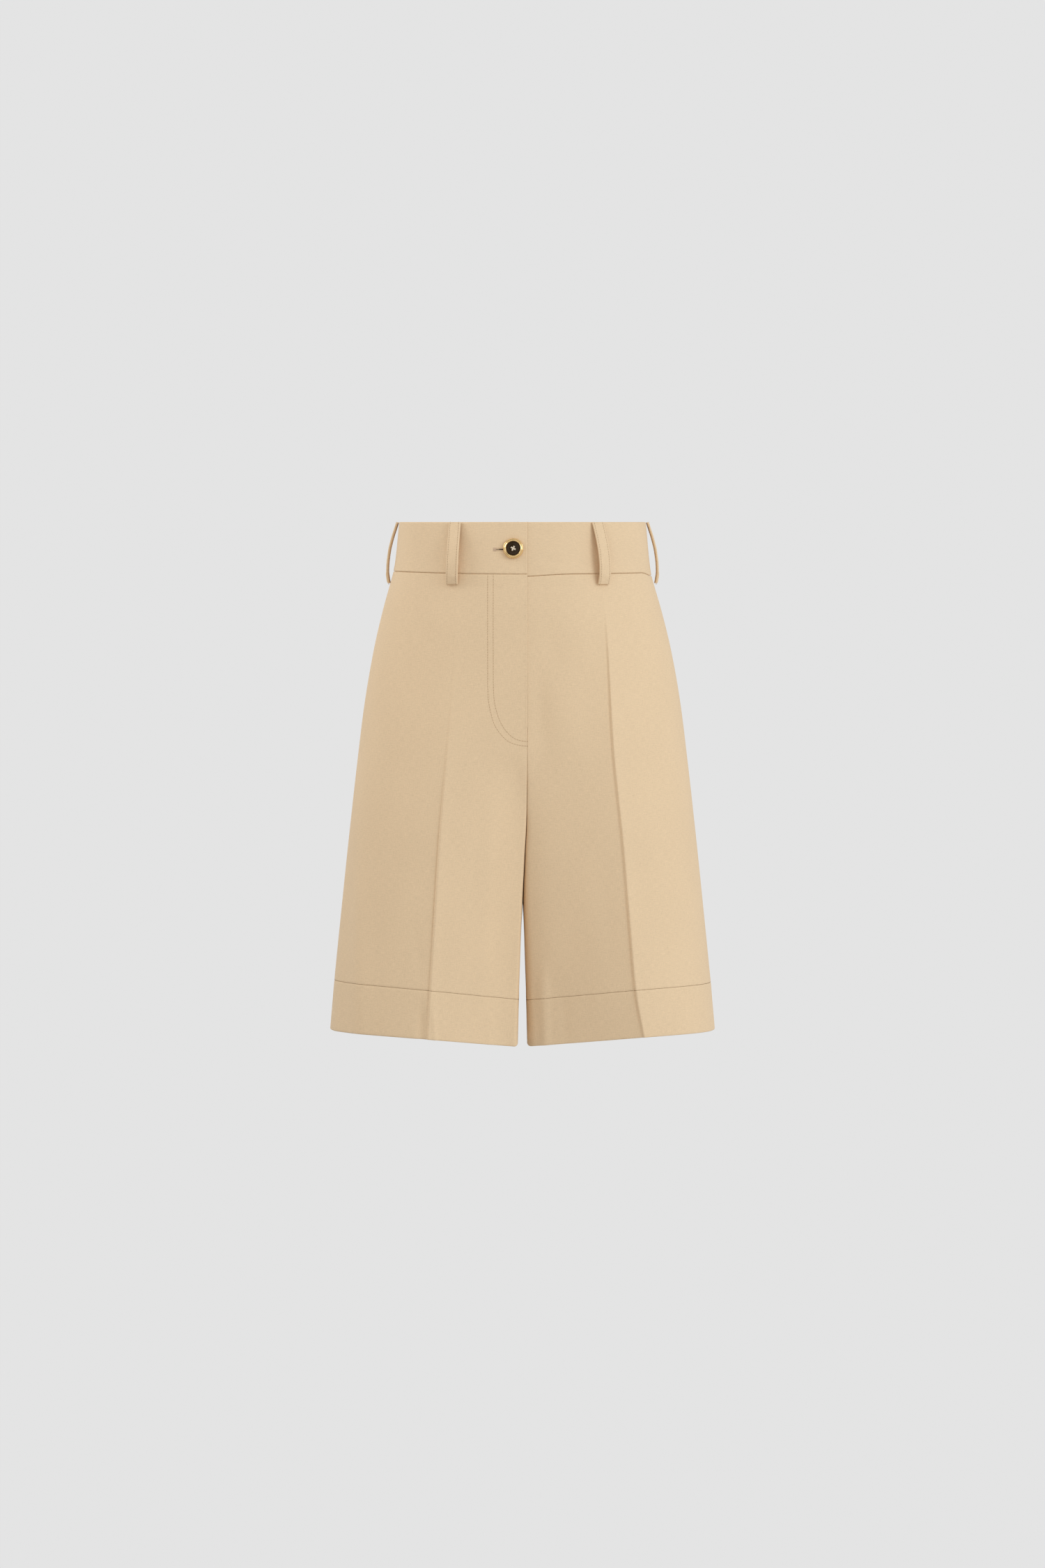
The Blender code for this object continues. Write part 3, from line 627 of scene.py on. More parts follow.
def cloth_wall(node, outer, inner, uv):
    """A closed wall of the cloth in place of a CAD node, between two grids of points in millimetres.

    Its UV map is the cloth's own run, in metres.
    """
    rows, columns = outer.shape[:2]
    count = rows * columns
    index = np.arange(count).reshape(rows, columns)
    a, b, c, d = index[:-1, :-1], index[:-1, 1:], index[1:, 1:], index[1:, :-1]
    faces = [np.stack([a, b, c, d], -1).reshape(-1, 4), np.stack([d, c, b, a], -1).reshape(-1, 4) + count]
    rim = np.concatenate([index[0, :-1], index[:-1, -1], index[-1, :0:-1], index[:0:-1, 0]])
    after = np.roll(rim, -1)
    faces.append(np.stack([after, rim, rim + count, after + count], -1))
    faces = np.vstack(faces)
    points = np.vstack([outer.reshape(-1, 3), inner.reshape(-1, 3)]) * MM
    mesh = bpy.data.meshes.new(f"cloth_{node}")
    mesh.from_pydata(points.tolist(), [], faces.tolist())
    both = np.vstack([uv.reshape(-1, 2), uv.reshape(-1, 2) + [INSIDE_RUN, 0]]) * MM
    mesh.uv_layers.new(name="cloth").data.foreach_set("uv", both[faces.ravel()].ravel())
    shape = bmesh.new()
    shape.from_mesh(mesh)
    if shape.calc_volume(signed=True) < 0:
        bmesh.ops.reverse_faces(shape, faces=shape.faces)
    shape.to_mesh(mesh)
    shape.free()
    mesh.shade_smooth()
    mesh.set_sharp_from_angle(angle=SHARP)
    mesh.materials.append(gabardine)
    piece = linked(f"cloth_{node}", mesh)
    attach(piece, "root")
    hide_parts(node)
    return piece


def cloth_material(name, tone):
    """Fine gabardine: a steep twill of yarns a third of a millimetre wide, uneven as spun cotton is.

    The pattern reads the cloth's own UV map, in metres: warp runs down the garment and weft across it.
    """
    made = plain(name, tone, 0.82, specular=0.25)
    nodes, links = made.node_tree.nodes, made.node_tree.links
    shader = nodes["Principled BSDF"]
    shader.inputs["Sheen Weight"].default_value = 0.06
    shader.inputs["Sheen Roughness"].default_value = 0.45
    where = add(nodes, "ShaderNodeUVMap", uv_map="cloth")

    def streaks(across, along, detail):
        """Noise drawn out along one direction, sized in metres."""
        size = add(nodes, "ShaderNodeMapping", {"Scale": (1 / across, 1 / along, 1)})
        noise = add(nodes, "ShaderNodeTexNoise", {"Scale": 1.0, "Detail": detail})
        links.new(where.outputs["UV"], size.inputs["Vector"])
        links.new(size.outputs["Vector"], noise.inputs["Vector"])
        return noise.outputs["Fac"]

    def weighed(terms, middle):
        """The middle value, and each noise's swing about its own middle times its weight."""
        total = None
        for fac, weight in terms:
            offset = (middle if total is None else 0.0) - weight / 2
            step = add(nodes, "ShaderNodeMath", {1: weight, 2: offset}, operation="MULTIPLY_ADD")
            links.new(fac, step.inputs[0])
            if total is None:
                total = step.outputs[0]
            else:
                joint = add(nodes, "ShaderNodeMath", operation="ADD")
                links.new(total, joint.inputs[0])
                links.new(step.outputs[0], joint.inputs[1])
                total = joint.outputs[0]
        return total

    warp = streaks(0.0007, 0.006, 2.0)
    weft = streaks(0.006, 0.0007, 2.0)
    grain = streaks(0.0011, 0.0011, 1.0)
    cloud = streaks(0.050, 0.070, 2.0)
    tint = add(nodes, "ShaderNodeVectorMath", {0: tone}, operation="SCALE")
    links.new(weighed(((warp, 0.17), (weft, 0.21), (grain, 0.17), (cloud, 0.06)), 1.0), tint.inputs["Scale"])
    links.new(tint.outputs[0], shader.inputs["Base Color"])

    turn = add(nodes, "ShaderNodeMapping", {"Rotation": (0, 0, math.radians(18)), "Scale": (1, 1, 0)})
    twill = add(nodes, "ShaderNodeTexWave", {"Scale": 620.0, "Distortion": 0.6}, bands_direction="DIAGONAL")
    links.new(where.outputs["UV"], turn.inputs["Vector"])
    links.new(turn.outputs["Vector"], twill.inputs["Vector"])
    relief = weighed(((twill.outputs["Fac"], 0.5), (warp, 1.0), (weft, 1.2), (grain, 0.8)), 0.5)
    bump = add(nodes, "ShaderNodeBump", {"Strength": 0.35, "Distance": 0.00012})
    links.new(relief, bump.inputs["Height"])
    links.new(bump.outputs["Normal"], shader.inputs["Normal"])
    return made


COTTON = (0.722, 0.527, 0.327)
gabardine = cloth_material("cotton_gabardine", COTTON)


def outwards(side, face):
    """Roughly the direction out of a panel, towards its own side."""
    return sign(side) * 0.4, -1 if face == "front" else 1, 0


def panel_shape(side, face):
    """A panel's outer face with its folds, its normals, its places on the flat cloth, and its rows."""
    drops, stitched = row_drops(side)
    on_leg = drops > ON_CROTCH
    grid, runs, creases = [], [], []
    for drop in drops:
        points, run = section(side, face, drop)
        widths, depths = points[:, 0], points[:, 1]
        depths[0] += SEAM_GAP / 2
        if drop > ON_CROTCH:
            depths[-1] += SEAM_GAP / 2
        if (side, face) == ("left", "front"):
            widths[-1] = mix(widths[-1], FLY_UNDER, 1 - ease(drop, FLY_LAPPED_TO, FLY_CLEAR_AT))
            across = 1 - ease((widths - FLY_EDGE) / FLY_FADE)
            depths -= FLY_INSET * across * (1 - ease(drop, FLY_CLEAR_AT, FLY_LEVEL_AT))
        grid.append(placed(side, face, widths, depths, row_level(side, face, widths, depths, drop)))
        runs.append(run)
        creases.append(read(crease_table(side, face), "width", drop))
    grid, runs, creases = np.array(grid), np.array(runs), np.array(creases)[:, None]
    across = creases + runs
    normal = normals(grid, outwards(side, face))

    stand = np.array([read(CREASE_STAND, f"{face}_{side}", drop) for drop in drops])[:, None]
    steep_run = -runs * sign(side)
    reach = np.where(steep_run > 0, CREASE_STEEP, CREASE_SLACK)
    height = stand * np.exp(-((np.abs(runs) / reach) ** CREASE_POWER))
    if face == "front":
        ditch = hump(steep_run - CREASE_DITCH["distance"], CREASE_DITCH["reach"])
        height -= stand * CREASE_DITCH["share"] * ditch
    if (side, face) == ("right", "front"):
        slack = ease(drops, CREASE_SOFT["from"], CREASE_SOFT["full"])
        slack = slack * (1 - ease(drops, CREASE_SOFT["full"], CREASE_SOFT["to"]))
        height -= CREASE_SOFT["depth"] * slack[:, None] * np.exp(-np.abs(runs) / CREASE_SOFT["reach"])
    height += folds(FOLDS[(face, side)], across, -grid[..., 2])
    from_stitching = (drops - drops[stitched])[:, None]
    from_waist = (drops - drops[0])[:, None]
    wave = PUCKER_HEIGHT * gathers(across, *PUCKER)
    height += wave * (hump(from_stitching, PUCKER_REACH) + WAIST_PUCKER * hump(from_waist, PUCKER_REACH))
    height -= STITCH_DITCH * hump(from_stitching, DITCH_REACH)

    height -= round_off(from_waist, EDGE_ROUND["waist"])
    height -= round_off((drops[-1] - drops)[:, None], EDGE_ROUND["hem"])
    height -= round_off(runs[:, :1] - runs, EDGE_ROUND["side"])
    from_middle = runs - runs[:, -1:]
    height -= round_off(from_middle, EDGE_ROUND["middle"])
    if (side, face) == ("right", "front"):
        height += lap_rim(from_middle) * (1 - ease(drops, FLY_CLEAR_AT, FLY_LEVEL_AT))[:, None]
    shaped = grid + normal * height[..., None]

    # The two panels of a seam stay on their own sides of it.
    shaped[:, 0, 1] = grid[:, 0, 1]
    shaped[on_leg, -1, 1] = grid[on_leg, -1, 1]
    shaped[:, -1, 0] = grid[:, -1, 0]
    return shaped, normal, np.stack([across, -drops[:, None] + 0 * across], -1), stitched, drops


def make_panel(side, face):
    """A front or back as a closed wall, double below the hem's stitching."""
    outer, normal, uv, stitched, drops = panel_shape(side, face)
    hem_top = drops[stitched] - HEM_TURNED_OVER
    thickness = np.where(drops >= hem_top - 1e-6, HEM_CLOTH, CLOTH)[:, None, None] + 0 * outer[..., :1]
    if (side, face) == ("right", "front"):
        near_edge = 1 - ease((outer[:, -1:, 0] - outer[..., 0] - LAP_REACH / 2) / LAP_REACH)
        lapped = 1 - ease(drops, FLY_CLEAR_AT, FLY_LEVEL_AT)
        thickness = mix(thickness, LAP_CLOTH, (near_edge * lapped[:, None])[..., None])
    inward = normal.copy()
    inward[[0, -1], :, 2] = 0
    inward[:, 0, 1] = 0
    inner = outer - unit(inward) * thickness
    on_leg = drops > ON_CROTCH
    inner[on_leg, -1, 1] = outer[on_leg, -1, 1]
    inner[on_leg, -1, 0] = outer[on_leg, -1, 0] + sign(side) * thickness[on_leg, -1, 0]
    keep_off = np.maximum if side == "left" else np.minimum
    inner[:, -1, 0] = keep_off(inner[:, -1, 0], outer[:, -1, 0])
    return cloth_wall(f"{face}_{side}", outer, inner, uv), outer, stitched


panels = {}
for face in ("front", "back"):
    for side in ("right", "left"):
        panels[(face, side)] = make_panel(side, face)


# --- Waistband ----------------------------------------------------------------
# A band 51 mm deep, doubled over a firm interlining, turned in along its top and sewn to the panels below.
# Its right end laps 5 mm past the middle over the left end, which runs on behind it.

BAND_CLOTH = 2.0
BAND_PROUD = 0.4
BAND_UNDER = -32.0
BAND_INSET = 0.85
BAND_LAP_CLOTH = 0.5  # the over end is pressed this thin
BAND_LAP_RUN = (42.0, 50.0)  # from its edge, where it thickens
BAND_PUCKER = (9.5, 1.5, 0.29, 0.11)
BAND_PUCKER_SHARE = 0.8
BAND_ROWS = 40
BAND_UNDER_COLUMNS = 24
BAND_ROUND = {"top": 1.0, "seam": 1.0, "end": 0.3}
BAND_FOLDS = (
    (-60, 18, -12, 9, 9, 0.35, 24),
    (10, 33, 46, 42, 6, -0.45, 16),
    (14, 47, 70, 44, 4, 0.35, 24),
    (-92, 30, -76, 44, 7, -0.35, 14),
    (92, 12, 112, 20, 8, 0.3, 16),
)


def joined_band_section(level):
    """The band's face at one level, from its over end, round the back, to its underlap."""
    def at_seam(side, face, widths, depths):
        seam = BAND_HEIGHT + waist_seam_shift(side, face, widths) - SEAM_GAP
        return placed(side, face, widths, depths, seam * level / BAND_HEIGHT)

    parts = []
    for side, face, order, inset in (
        ("right", "front", slice(None, None, -1), 0.0),
        ("right", "back", slice(1, -1), 0.0),
        ("left", "back", slice(None, None, -1), 0.0),
        ("left", "front", slice(1, None), BAND_INSET),
    ):
        points = section(side, face, level)[0]
        points = points[np.concatenate([[True], np.linalg.norm(np.diff(points, axis=0), axis=1) > 1e-4])]
        widths, depths = points[:, 0], points[:, 1] + BAND_PROUD
        depths = depths - inset * (1 - ease((widths - FLY_EDGE - 1) / FLY_FADE))
        parts.append(at_seam(side, face, widths, depths)[order])
    under = np.linspace(0, BAND_UNDER, BAND_UNDER_COLUMNS)
    depths = np.array([front_depth(x, level) for x in under]) + BAND_PROUD - BAND_INSET
    return np.vstack(parts + [at_seam("left", "front", under, depths)])


def make_waistband():
    edge = np.array(EDGE_STEPS)
    between = np.linspace(edge[-1], BAND_HEIGHT - edge[-1], BAND_ROWS)[1:-1]
    levels = np.concatenate([edge, between, BAND_HEIGHT - edge[::-1]])
    rows = [joined_band_section(level) for level in levels]
    count = max(len(row) for row in rows)
    grid = np.array([at_runs(row, np.arange(len(row)), np.linspace(0, len(row) - 1, count)) for row in rows])
    normal = normals(grid, (0, 1, 0))
    run = np.array([measured(row) for row in grid])
    down = levels[:, None]
    height = -round_off(down, BAND_ROUND["top"]) - round_off(BAND_HEIGHT - down, BAND_ROUND["seam"])
    height = height - round_off(run, BAND_ROUND["end"]) + lap_rim(run)
    height += folds(BAND_FOLDS, grid[..., 0], -grid[..., 2]) * (grid[..., 1] < 0)
    wave = BAND_PUCKER_SHARE * PUCKER_HEIGHT * gathers(run, *BAND_PUCKER)
    height += wave * hump(BAND_HEIGHT - down, PUCKER_REACH)
    outer = grid + normal * height[..., None]
    inward = normal.copy()
    inward[..., 2] = 0
    near_end = (1 - ease(run, *BAND_LAP_RUN))[..., None]
    inner = grid - unit(inward) * mix(BAND_CLOTH, BAND_LAP_CLOTH, near_end)
    return cloth_wall("waistband", outer, inner, np.stack([run, -down + 0 * run], -1)), outer


waistband, band_face = make_waistband()


# --- Fly shield ---------------------------------------------------------------
# A strip of one layer of the same cloth behind the fly opening, sewn to the left front. It hides inside.

SHIELD_WIDTH = (-34.0, 12.0)
SHIELD_DROP = (54.4, 200.0)
SHIELD_INSET = 3.3
SHIELD_CLOTH = 1.0

drops = np.linspace(*SHIELD_DROP, 42)
xs = np.linspace(*SHIELD_WIDTH, 24)
outer = np.array([[(x, SHIELD_INSET - front_depth(x, drop), -drop) for x in xs] for drop in drops])
outer[..., 1] -= np.minimum(folds(FOLDS[("front", "left")], outer[..., 0], -outer[..., 2]), 0)
inner = outer - normals(outer, (0, -1, 0)) * SHIELD_CLOTH
fly_shield = cloth_wall("fly_shield", outer, inner, np.stack(np.meshgrid(xs, -drops), -1))


# --- Belt loops ---------------------------------------------------------------
# Five flat strips of folded cloth, caught in the band's top edge, and turned under and sewn down below the
# waist seam. Each is stitched along both edges and stands off the band between its ends, for a belt to pass.

LOOP_WIDTH = 12.8
LOOP_LENGTH = 60.5
LOOP_CLOTH = 2.2
LOOP_ROWS = 60
LOOP_TOP = 0.6
LOOP_TOP_CLEAR = (0.3, 0.02)  # how far below the band's top edge it stays, and how fast that grows
LOOP_ROUND = {"side": 1.05, "end": 1.6}
LOOP_EDGE = 1.8  # from the strip's edge to its stitching, which lies in a ditch
LOOP_DITCH = {"depth": 0.22, "reach": 0.6}
LOOP_EDGE_STEPS = (0.0, 0.2, 0.5, 0.9, 1.4)
LOOP_TURN = {"length": 9.0, "height": 0.55, "slope": 2.0}
LOOPS = (
    ("name", "spot", "top", "bottom", "stand_off", "turned"),
    ("belt_loop_front_right", "front", -65.5, -68.5, 7.1, 20),
    ("belt_loop_front_left", "front", 73, 78.5, 6.9, 0),
    ("belt_loop_side_right", "right", 4, 4, 5.7, 0),
    ("belt_loop_side_left", "left", 4, 4, 5.7, 0),
    ("belt_loop_back", "back", 0, 0, 5.8, 0),
)
LOOP_PROFILE = (
    ("share", "stand_off"),
    (0, 0),
    (0.1, 0.24),
    (0.3, 0.7),
    (0.48, 0.96),
    (0.62, 1),
    (0.8, 0.84),
    (0.92, 0.4),
    (1, 0),
)


def carrier(spot, along, drop):
    """The point under a belt loop, and the level direction straight out of the cloth there."""
    side = spot if spot in ("left", "right") else ("left" if along > 0 else "right")
    face = "front" if spot == "front" else "back"
    widths, depths = section(side, face, drop)[0][::-1].T
    if spot in ("left", "right"):
        near_seam = depths < read(BODY, "back", drop) / 2
        widths, depths = widths[near_seam][::-1], depths[near_seam][::-1]
        near, far = ((np.interp(v, depths, widths), v) for v in (along, along + 2))
    else:
        near, far = ((v, np.interp(v, widths, depths)) for v in (abs(along), abs(along) + 2))
    near, far = (placed(side, face, width, depth, drop) for width, depth in (near, far))
    outward = unit(np.array([far[1] - near[1], near[0] - far[0], 0.0]))
    if spot == "back" and along == 0:
        near[0], outward = 0.0, np.array([0.0, 1.0, 0.0])
    return near, outward if np.dot(outward, near) > 0 else -outward


def loop_grid(spot, top, bottom, stand_off, turned_by):
    """The strip's inner face, its outward directions, and the distances along and across it."""
    cos, sin = heading(turned_by)
    edge, half = np.array(LOOP_EDGE_STEPS), LOOP_WIDTH / 2
    between = np.linspace(edge[-1] - half, half - edge[-1], 10)[1:-1]
    across = np.concatenate([edge - half, between, (half - edge)[::-1]])
    shares = (1 - np.cos(np.linspace(0, math.pi, LOOP_ROWS + 1))) / 2
    grid, out = [], []
    for share in shares:
        drop = mix(LOOP_TOP, LOOP_LENGTH, share)
        point, outward = carrier(spot, mix(top, bottom, share), drop)
        sideways = np.array([-outward[1], outward[0], 0.0])
        away = outward * cos + sideways * sin
        away *= stand_off * read(LOOP_PROFILE, "stand_off", share)
        middle = point + outward * (SEAM_GAP + BAND_PROUD) + away
        grid.append(middle + across[:, None] * sideways)
        out.append(outward)
    grid = np.array(grid)
    return grid, normals(grid, out[0]), measured(grid[:, len(across) // 2]), across


def make_belt_loop(name, spot, top, bottom, stand_off, turned_by):
    grid, normal, along, across = loop_grid(spot, top, bottom, stand_off, turned_by)
    from_edge = (LOOP_WIDTH / 2 - np.abs(across))[None, :]
    from_start, from_end = along[:, None], (along[-1] - along)[:, None]
    fall = round_off(from_edge, LOOP_ROUND["side"]) + 0 * from_end
    turned = 1 - ease((from_end - LOOP_TURN["length"]) / LOOP_TURN["slope"])
    outer_fall = fall + round_off(from_end, LOOP_ROUND["end"]) - LOOP_TURN["height"] * turned
    outer_fall += LOOP_DITCH["depth"] * hump(from_edge - LOOP_EDGE, LOOP_DITCH["reach"])
    inner = grid + normal * fall[..., None]
    outer = grid + normal * (LOOP_CLOTH - outer_fall)[..., None]
    outer[..., 2] = np.minimum(outer[..., 2], -LOOP_TOP_CLEAR[0] - from_start * LOOP_TOP_CLEAR[1])
    uv = np.stack([across + 0 * from_start, 0 * across - from_start], -1)
    return cloth_wall(name, outer, inner, uv), outer, normal, along, across


loops = {row[0]: make_belt_loop(*row) for row in LOOPS[1:]}


# --- Sewing -------------------------------------------------------------------
# Lockstitch in cotton-wrapped thread: two rows of topstitching that curve in to the fly's lower end, one row
# round each hem and one along each edge of the belt loops. Between stitches, a small dark grain of painted
# shade stands for the shadow in each needle hole.

thread = plain("thread", (0.58, 0.41, 0.25), 0.6)
# Painted shade: dark-brown grains between the stitches stand for the shadow inside each needle hole.
painted_hole_shade = plain("painted_hole_shade", (0.36, 0.22, 0.11), 0.95)
# Dark brown: partly the thread's own colour, partly painted shade of the ditch that the hem's stitching lies
# in.
hem_thread_and_painted_shade = plain("hem_thread_and_painted_shade", (0.23, 0.14, 0.07), 0.8)


def sewing_group():
    """Nodes that lay a rounded grain at every pitch of a path, along it, and facing out of the cloth."""
    group = bpy.data.node_groups.new("sewing", "GeometryNodeTree")
    for name, kind in (
        ("Path", "NodeSocketGeometry"),
        ("Pitch", "NodeSocketFloat"),
        ("Shift", "NodeSocketFloat"),
        ("Size", "NodeSocketVector"),
        ("Slant", "NodeSocketVector"),
        ("Material", "NodeSocketMaterial"),
    ):
        group.interface.new_socket(name, in_out="INPUT", socket_type=kind)
    group.interface.new_socket("Stitches", in_out="OUTPUT", socket_type="NodeSocketGeometry")
    given, result = add(group.nodes, "NodeGroupInput"), add(group.nodes, "NodeGroupOutput")
    curve = add(group.nodes, "GeometryNodeMeshToCurve")
    evenly = add(group.nodes, "GeometryNodeResampleCurve", mode="LENGTH")
    tangent = add(group.nodes, "GeometryNodeInputTangent")
    shift = add(group.nodes, "ShaderNodeVectorMath", operation="SCALE")
    move = add(group.nodes, "GeometryNodeSetPosition")
    out = add(group.nodes, "GeometryNodeInputNamedAttribute", {"Name": "out"}, data_type="FLOAT_VECTOR")
    turn = add(group.nodes, "FunctionNodeAxesToRotation", primary_axis="Z", secondary_axis="X")
    grain = add(group.nodes, "GeometryNodeMeshIcoSphere", {"Radius": 0.5, "Subdivisions": 2})
    sized = add(group.nodes, "GeometryNodeTransform")
    smooth = add(group.nodes, "GeometryNodeSetShadeSmooth")
    instances = add(group.nodes, "GeometryNodeInstanceOnPoints")
    real = add(group.nodes, "GeometryNodeRealizeInstances")
    paint = add(group.nodes, "GeometryNodeSetMaterial")
    for source, output, target, socket in (
        (given, "Path", curve, "Mesh"),
        (curve, "Curve", evenly, "Curve"),
        (given, "Pitch", evenly, "Length"),
        (evenly, "Curve", move, "Geometry"),
        (tangent, "Tangent", shift, 0),
        (given, "Shift", shift, "Scale"),
        (shift, 0, move, "Offset"),
        (out, "Attribute", turn, "Primary Axis"),
        (tangent, "Tangent", turn, "Secondary Axis"),
        (grain, "Mesh", sized, "Geometry"),
        (given, "Size", sized, "Scale"),
        (given, "Slant", sized, "Rotation"),
        (sized, "Geometry", smooth, "Geometry"),
        (smooth, "Geometry", instances, "Instance"),
        (move, "Geometry", instances, "Points"),
        (turn, "Rotation", instances, "Rotation"),
        (instances, "Instances", real, "Geometry"),
        (real, "Geometry", paint, "Geometry"),
        (given, "Material", paint, "Material"),
        (paint, "Geometry", result, "Stitches"),
    ):
        group.links.new(source.outputs[output], target.inputs[socket])
    return group


sewing = sewing_group()


def evaluated(piece, modifier):
    """Make what a modifier does to a piece its own plain mesh."""
    bpy.context.view_layer.update()
    made = bpy.data.meshes.new_from_object(piece.evaluated_get(bpy.context.evaluated_depsgraph_get()))
    piece.modifiers.remove(modifier)
    piece.data = made


def sew(name, paths, pitch, size, material, shift=0.0, slant=0.0):
    """One piece of stitches, or of dark grains of painted shade for the needle holes, along paths of points
    and outward directions, in millimetres.
    """
    mesh = bpy.data.meshes.new(name)
    starts = np.cumsum([0] + [len(points) for points, _ in paths])
    edges = [(i, i + 1) for a, b in zip(starts, starts[1:]) for i in range(a, b - 1)]
    mesh.from_pydata((np.vstack([points for points, _ in paths]) * MM).tolist(), edges, [])
    directions = mesh.attributes.new("out", "FLOAT_VECTOR", "POINT")
    directions.data.foreach_set("vector", np.vstack([out for _, out in paths]).astype(np.float32).ravel())
    piece = linked(name, mesh)
    modifier = piece.modifiers.new("sewing", "NODES")
    modifier.node_group = sewing
    values = {
        "Pitch": pitch * MM,
        "Shift": shift * MM,
        "Size": [value * MM for value in size],
        "Slant": (0.0, 0.0, math.radians(slant)),
        "Material": material,
    }
    for item in sewing.interface.items_tree:
        if item.item_type == "SOCKET" and item.in_out == "INPUT" and item.name in values:
            modifier[item.identifier] = values[item.name]
    evaluated(piece, modifier)
    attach(piece, "root")
    return piece


FLY_STITCHING = (  # the two rows of topstitching on the fly: X and drop
    ("outer_x", "outer_drop", "inner_x", "inner_drop"),
    (-34.1, 52.4, -28.6, 52.4),
    (-34.2, 93.7, -28.7, 93.7),
    (-34.1, 138, -28.6, 138),
    (-33.9, 165.6, -28.3, 165.6),
    (-33.4, 173.5, -27.8, 173.5),
    (-30.9, 187.5, -24.8, 187.3),
    (-27.4, 198.4, -21.2, 196.7),
    (-23, 205.6, -16.7, 203.8),
    (-14.4, 214.3, -7.7, 211.9),
    (-4.1, 218.4, -1.9, 214),
    (3.8, 219.2, 3.8, 214.6),
)
THREAD_LIFT = 0.02
FLY_PITCH = 2.55
FLY_THREAD = (2.0, 0.42, 0.30)
FLY_HOLE_SHADE = (0.72, 0.62, 0.34)
HEM_PITCH = 1.75
HEM_STITCH = (1.55, 0.42, 0.34)
HEM_HOLE_SHADE = (0.75, 0.55, 0.3)
LOOP_PITCH = 2.4
COLUMNS_PAST_FACE = 12  # how far round the corner the fly's stitching may lie
NEAR_ROWS = 4


def smooth_path(points, step=0.8):
    """A smooth curve through points, as many small steps."""
    points = np.array(points, float)
    run = measured(points)
    slope = np.gradient(points, run, axis=0)
    at = np.linspace(0, run[-1], int(run[-1] / step) + 1)
    k = np.clip(np.searchsorted(run, at) - 1, 0, len(run) - 2)
    length = (run[k + 1] - run[k])[:, None]
    t = (at - run[k])[:, None] / length
    return hermite(t, points[k], points[k + 1], slope[k] * length, slope[k + 1] * length)


def on_panel(outer, path):
    """Points of a front's face at each (X, drop) of a path, and the directions out of it."""
    flat = COLUMNS["outer"] + COLUMNS["face"] + len(EDGE_STEPS) + COLUMNS_PAST_FACE
    both = np.concatenate([outer, normals(outer, (0, -1, 0))], axis=2)[:, :flat]
    if outer[0, 0, 0] > outer[0, -1, 0]:
        both = both[:, ::-1]
    found = []
    for x, drop in path:
        row = np.searchsorted(-outer[:, FLAT_COLUMN, 2], drop)
        near = both[max(0, row - NEAR_ROWS):row + NEAR_ROWS + 1]
        level = np.array([[np.interp(x, line[:, 0], column) for column in line.T] for line in near])
        found.append([np.interp(drop, -level[:, 2], column) for column in level.T])
    path, found = np.array(path), np.array(found)
    return np.column_stack([path[:, 0], found[:, 1], -path[:, 1]]), found[:, 3:]


table = np.array(FLY_STITCHING[1:])
fly_rows = [on_panel(panels[("front", "right")][1], smooth_path(table[:, i:i + 2])) for i in (0, 2)]
raised = [(row + THREAD_LIFT * out, out) for row, out in fly_rows]
sew("fly_topstitching", raised, FLY_PITCH, FLY_THREAD, thread)
sew("fly_painted_hole_shades", fly_rows, FLY_PITCH, FLY_HOLE_SHADE, painted_hole_shade, shift=FLY_PITCH / 2)

hem_rows = []
for (face, side), (piece, outer, stitched) in panels.items():
    row, out = outer[stitched, 1:-1], normals(outer, outwards(side, face))[stitched, 1:-1]
    hem_rows.append((row + out * THREAD_LIFT, out))
sew("hem_stitching", hem_rows, HEM_PITCH, HEM_STITCH, hem_thread_and_painted_shade, slant=16)
sew("hem_painted_hole_shades", hem_rows, HEM_PITCH, HEM_HOLE_SHADE, painted_hole_shade, shift=HEM_PITCH / 2)

loop_rows = []
for piece, outer, normal, along, across in loops.values():
    for place in (LOOP_EDGE - LOOP_WIDTH / 2, LOOP_WIDTH / 2 - LOOP_EDGE):
        share = np.interp(place, across, np.arange(len(across)))
        k = int(share)
        row = mix(outer[:, k], outer[:, k + 1], share - k)[4:-3]
        loop_rows.append((row, normal[4:-3, k]))
sew("loop_edge_stitching", loop_rows, LOOP_PITCH, FLY_THREAD, thread)
sew("loop_painted_hole_shades", loop_rows, LOOP_PITCH, FLY_HOLE_SHADE, painted_hole_shade, shift=LOOP_PITCH / 2)


# --- Button -------------------------------------------------------------------
# A 20 mm button: a polished gold-coloured metal ring round a dark brown imitation-horn disc, sewn on through
# four holes with cream thread. The buttonhole in the band's over end is worked in thread, with a bar, and its
# slit and mouth are painted shadow.

BUTTON_X = -8.9
BUTTON_DROP = 26.1
BUTTON_LIFT = 0.5
BUTTON_TILT_REACH = 6.0
HOLE_RADIUS = 0.75
HOLE_SPREAD = 1.70
BUTTON_TURN = Matrix.Rotation(math.radians(20), 4, "Z")
RIM_PROFILE = (
    ("radius", "height"),
    (9.5, 0), (9.82, 0.1), (9.9, 0.4), (9.9, 1.3), (9.86, 1.75), (9.76, 2.15), (9.6, 2.46),
    (9.45, 2.62), (9.3, 2.7), (9.15, 2.74), (9, 2.76), (8.85, 2.76), (8.7, 2.74), (8.55, 2.7),
    (8.45, 2.65), (8.34, 2.62), (8.22, 2.7), (8.05, 2.84), (7.85, 3), (7.66, 3.12), (7.48, 3.16),
    (7.32, 3.1), (7.2, 2.92), (7.14, 2.6), (7.1, 2.1), (7.1, 0),
)
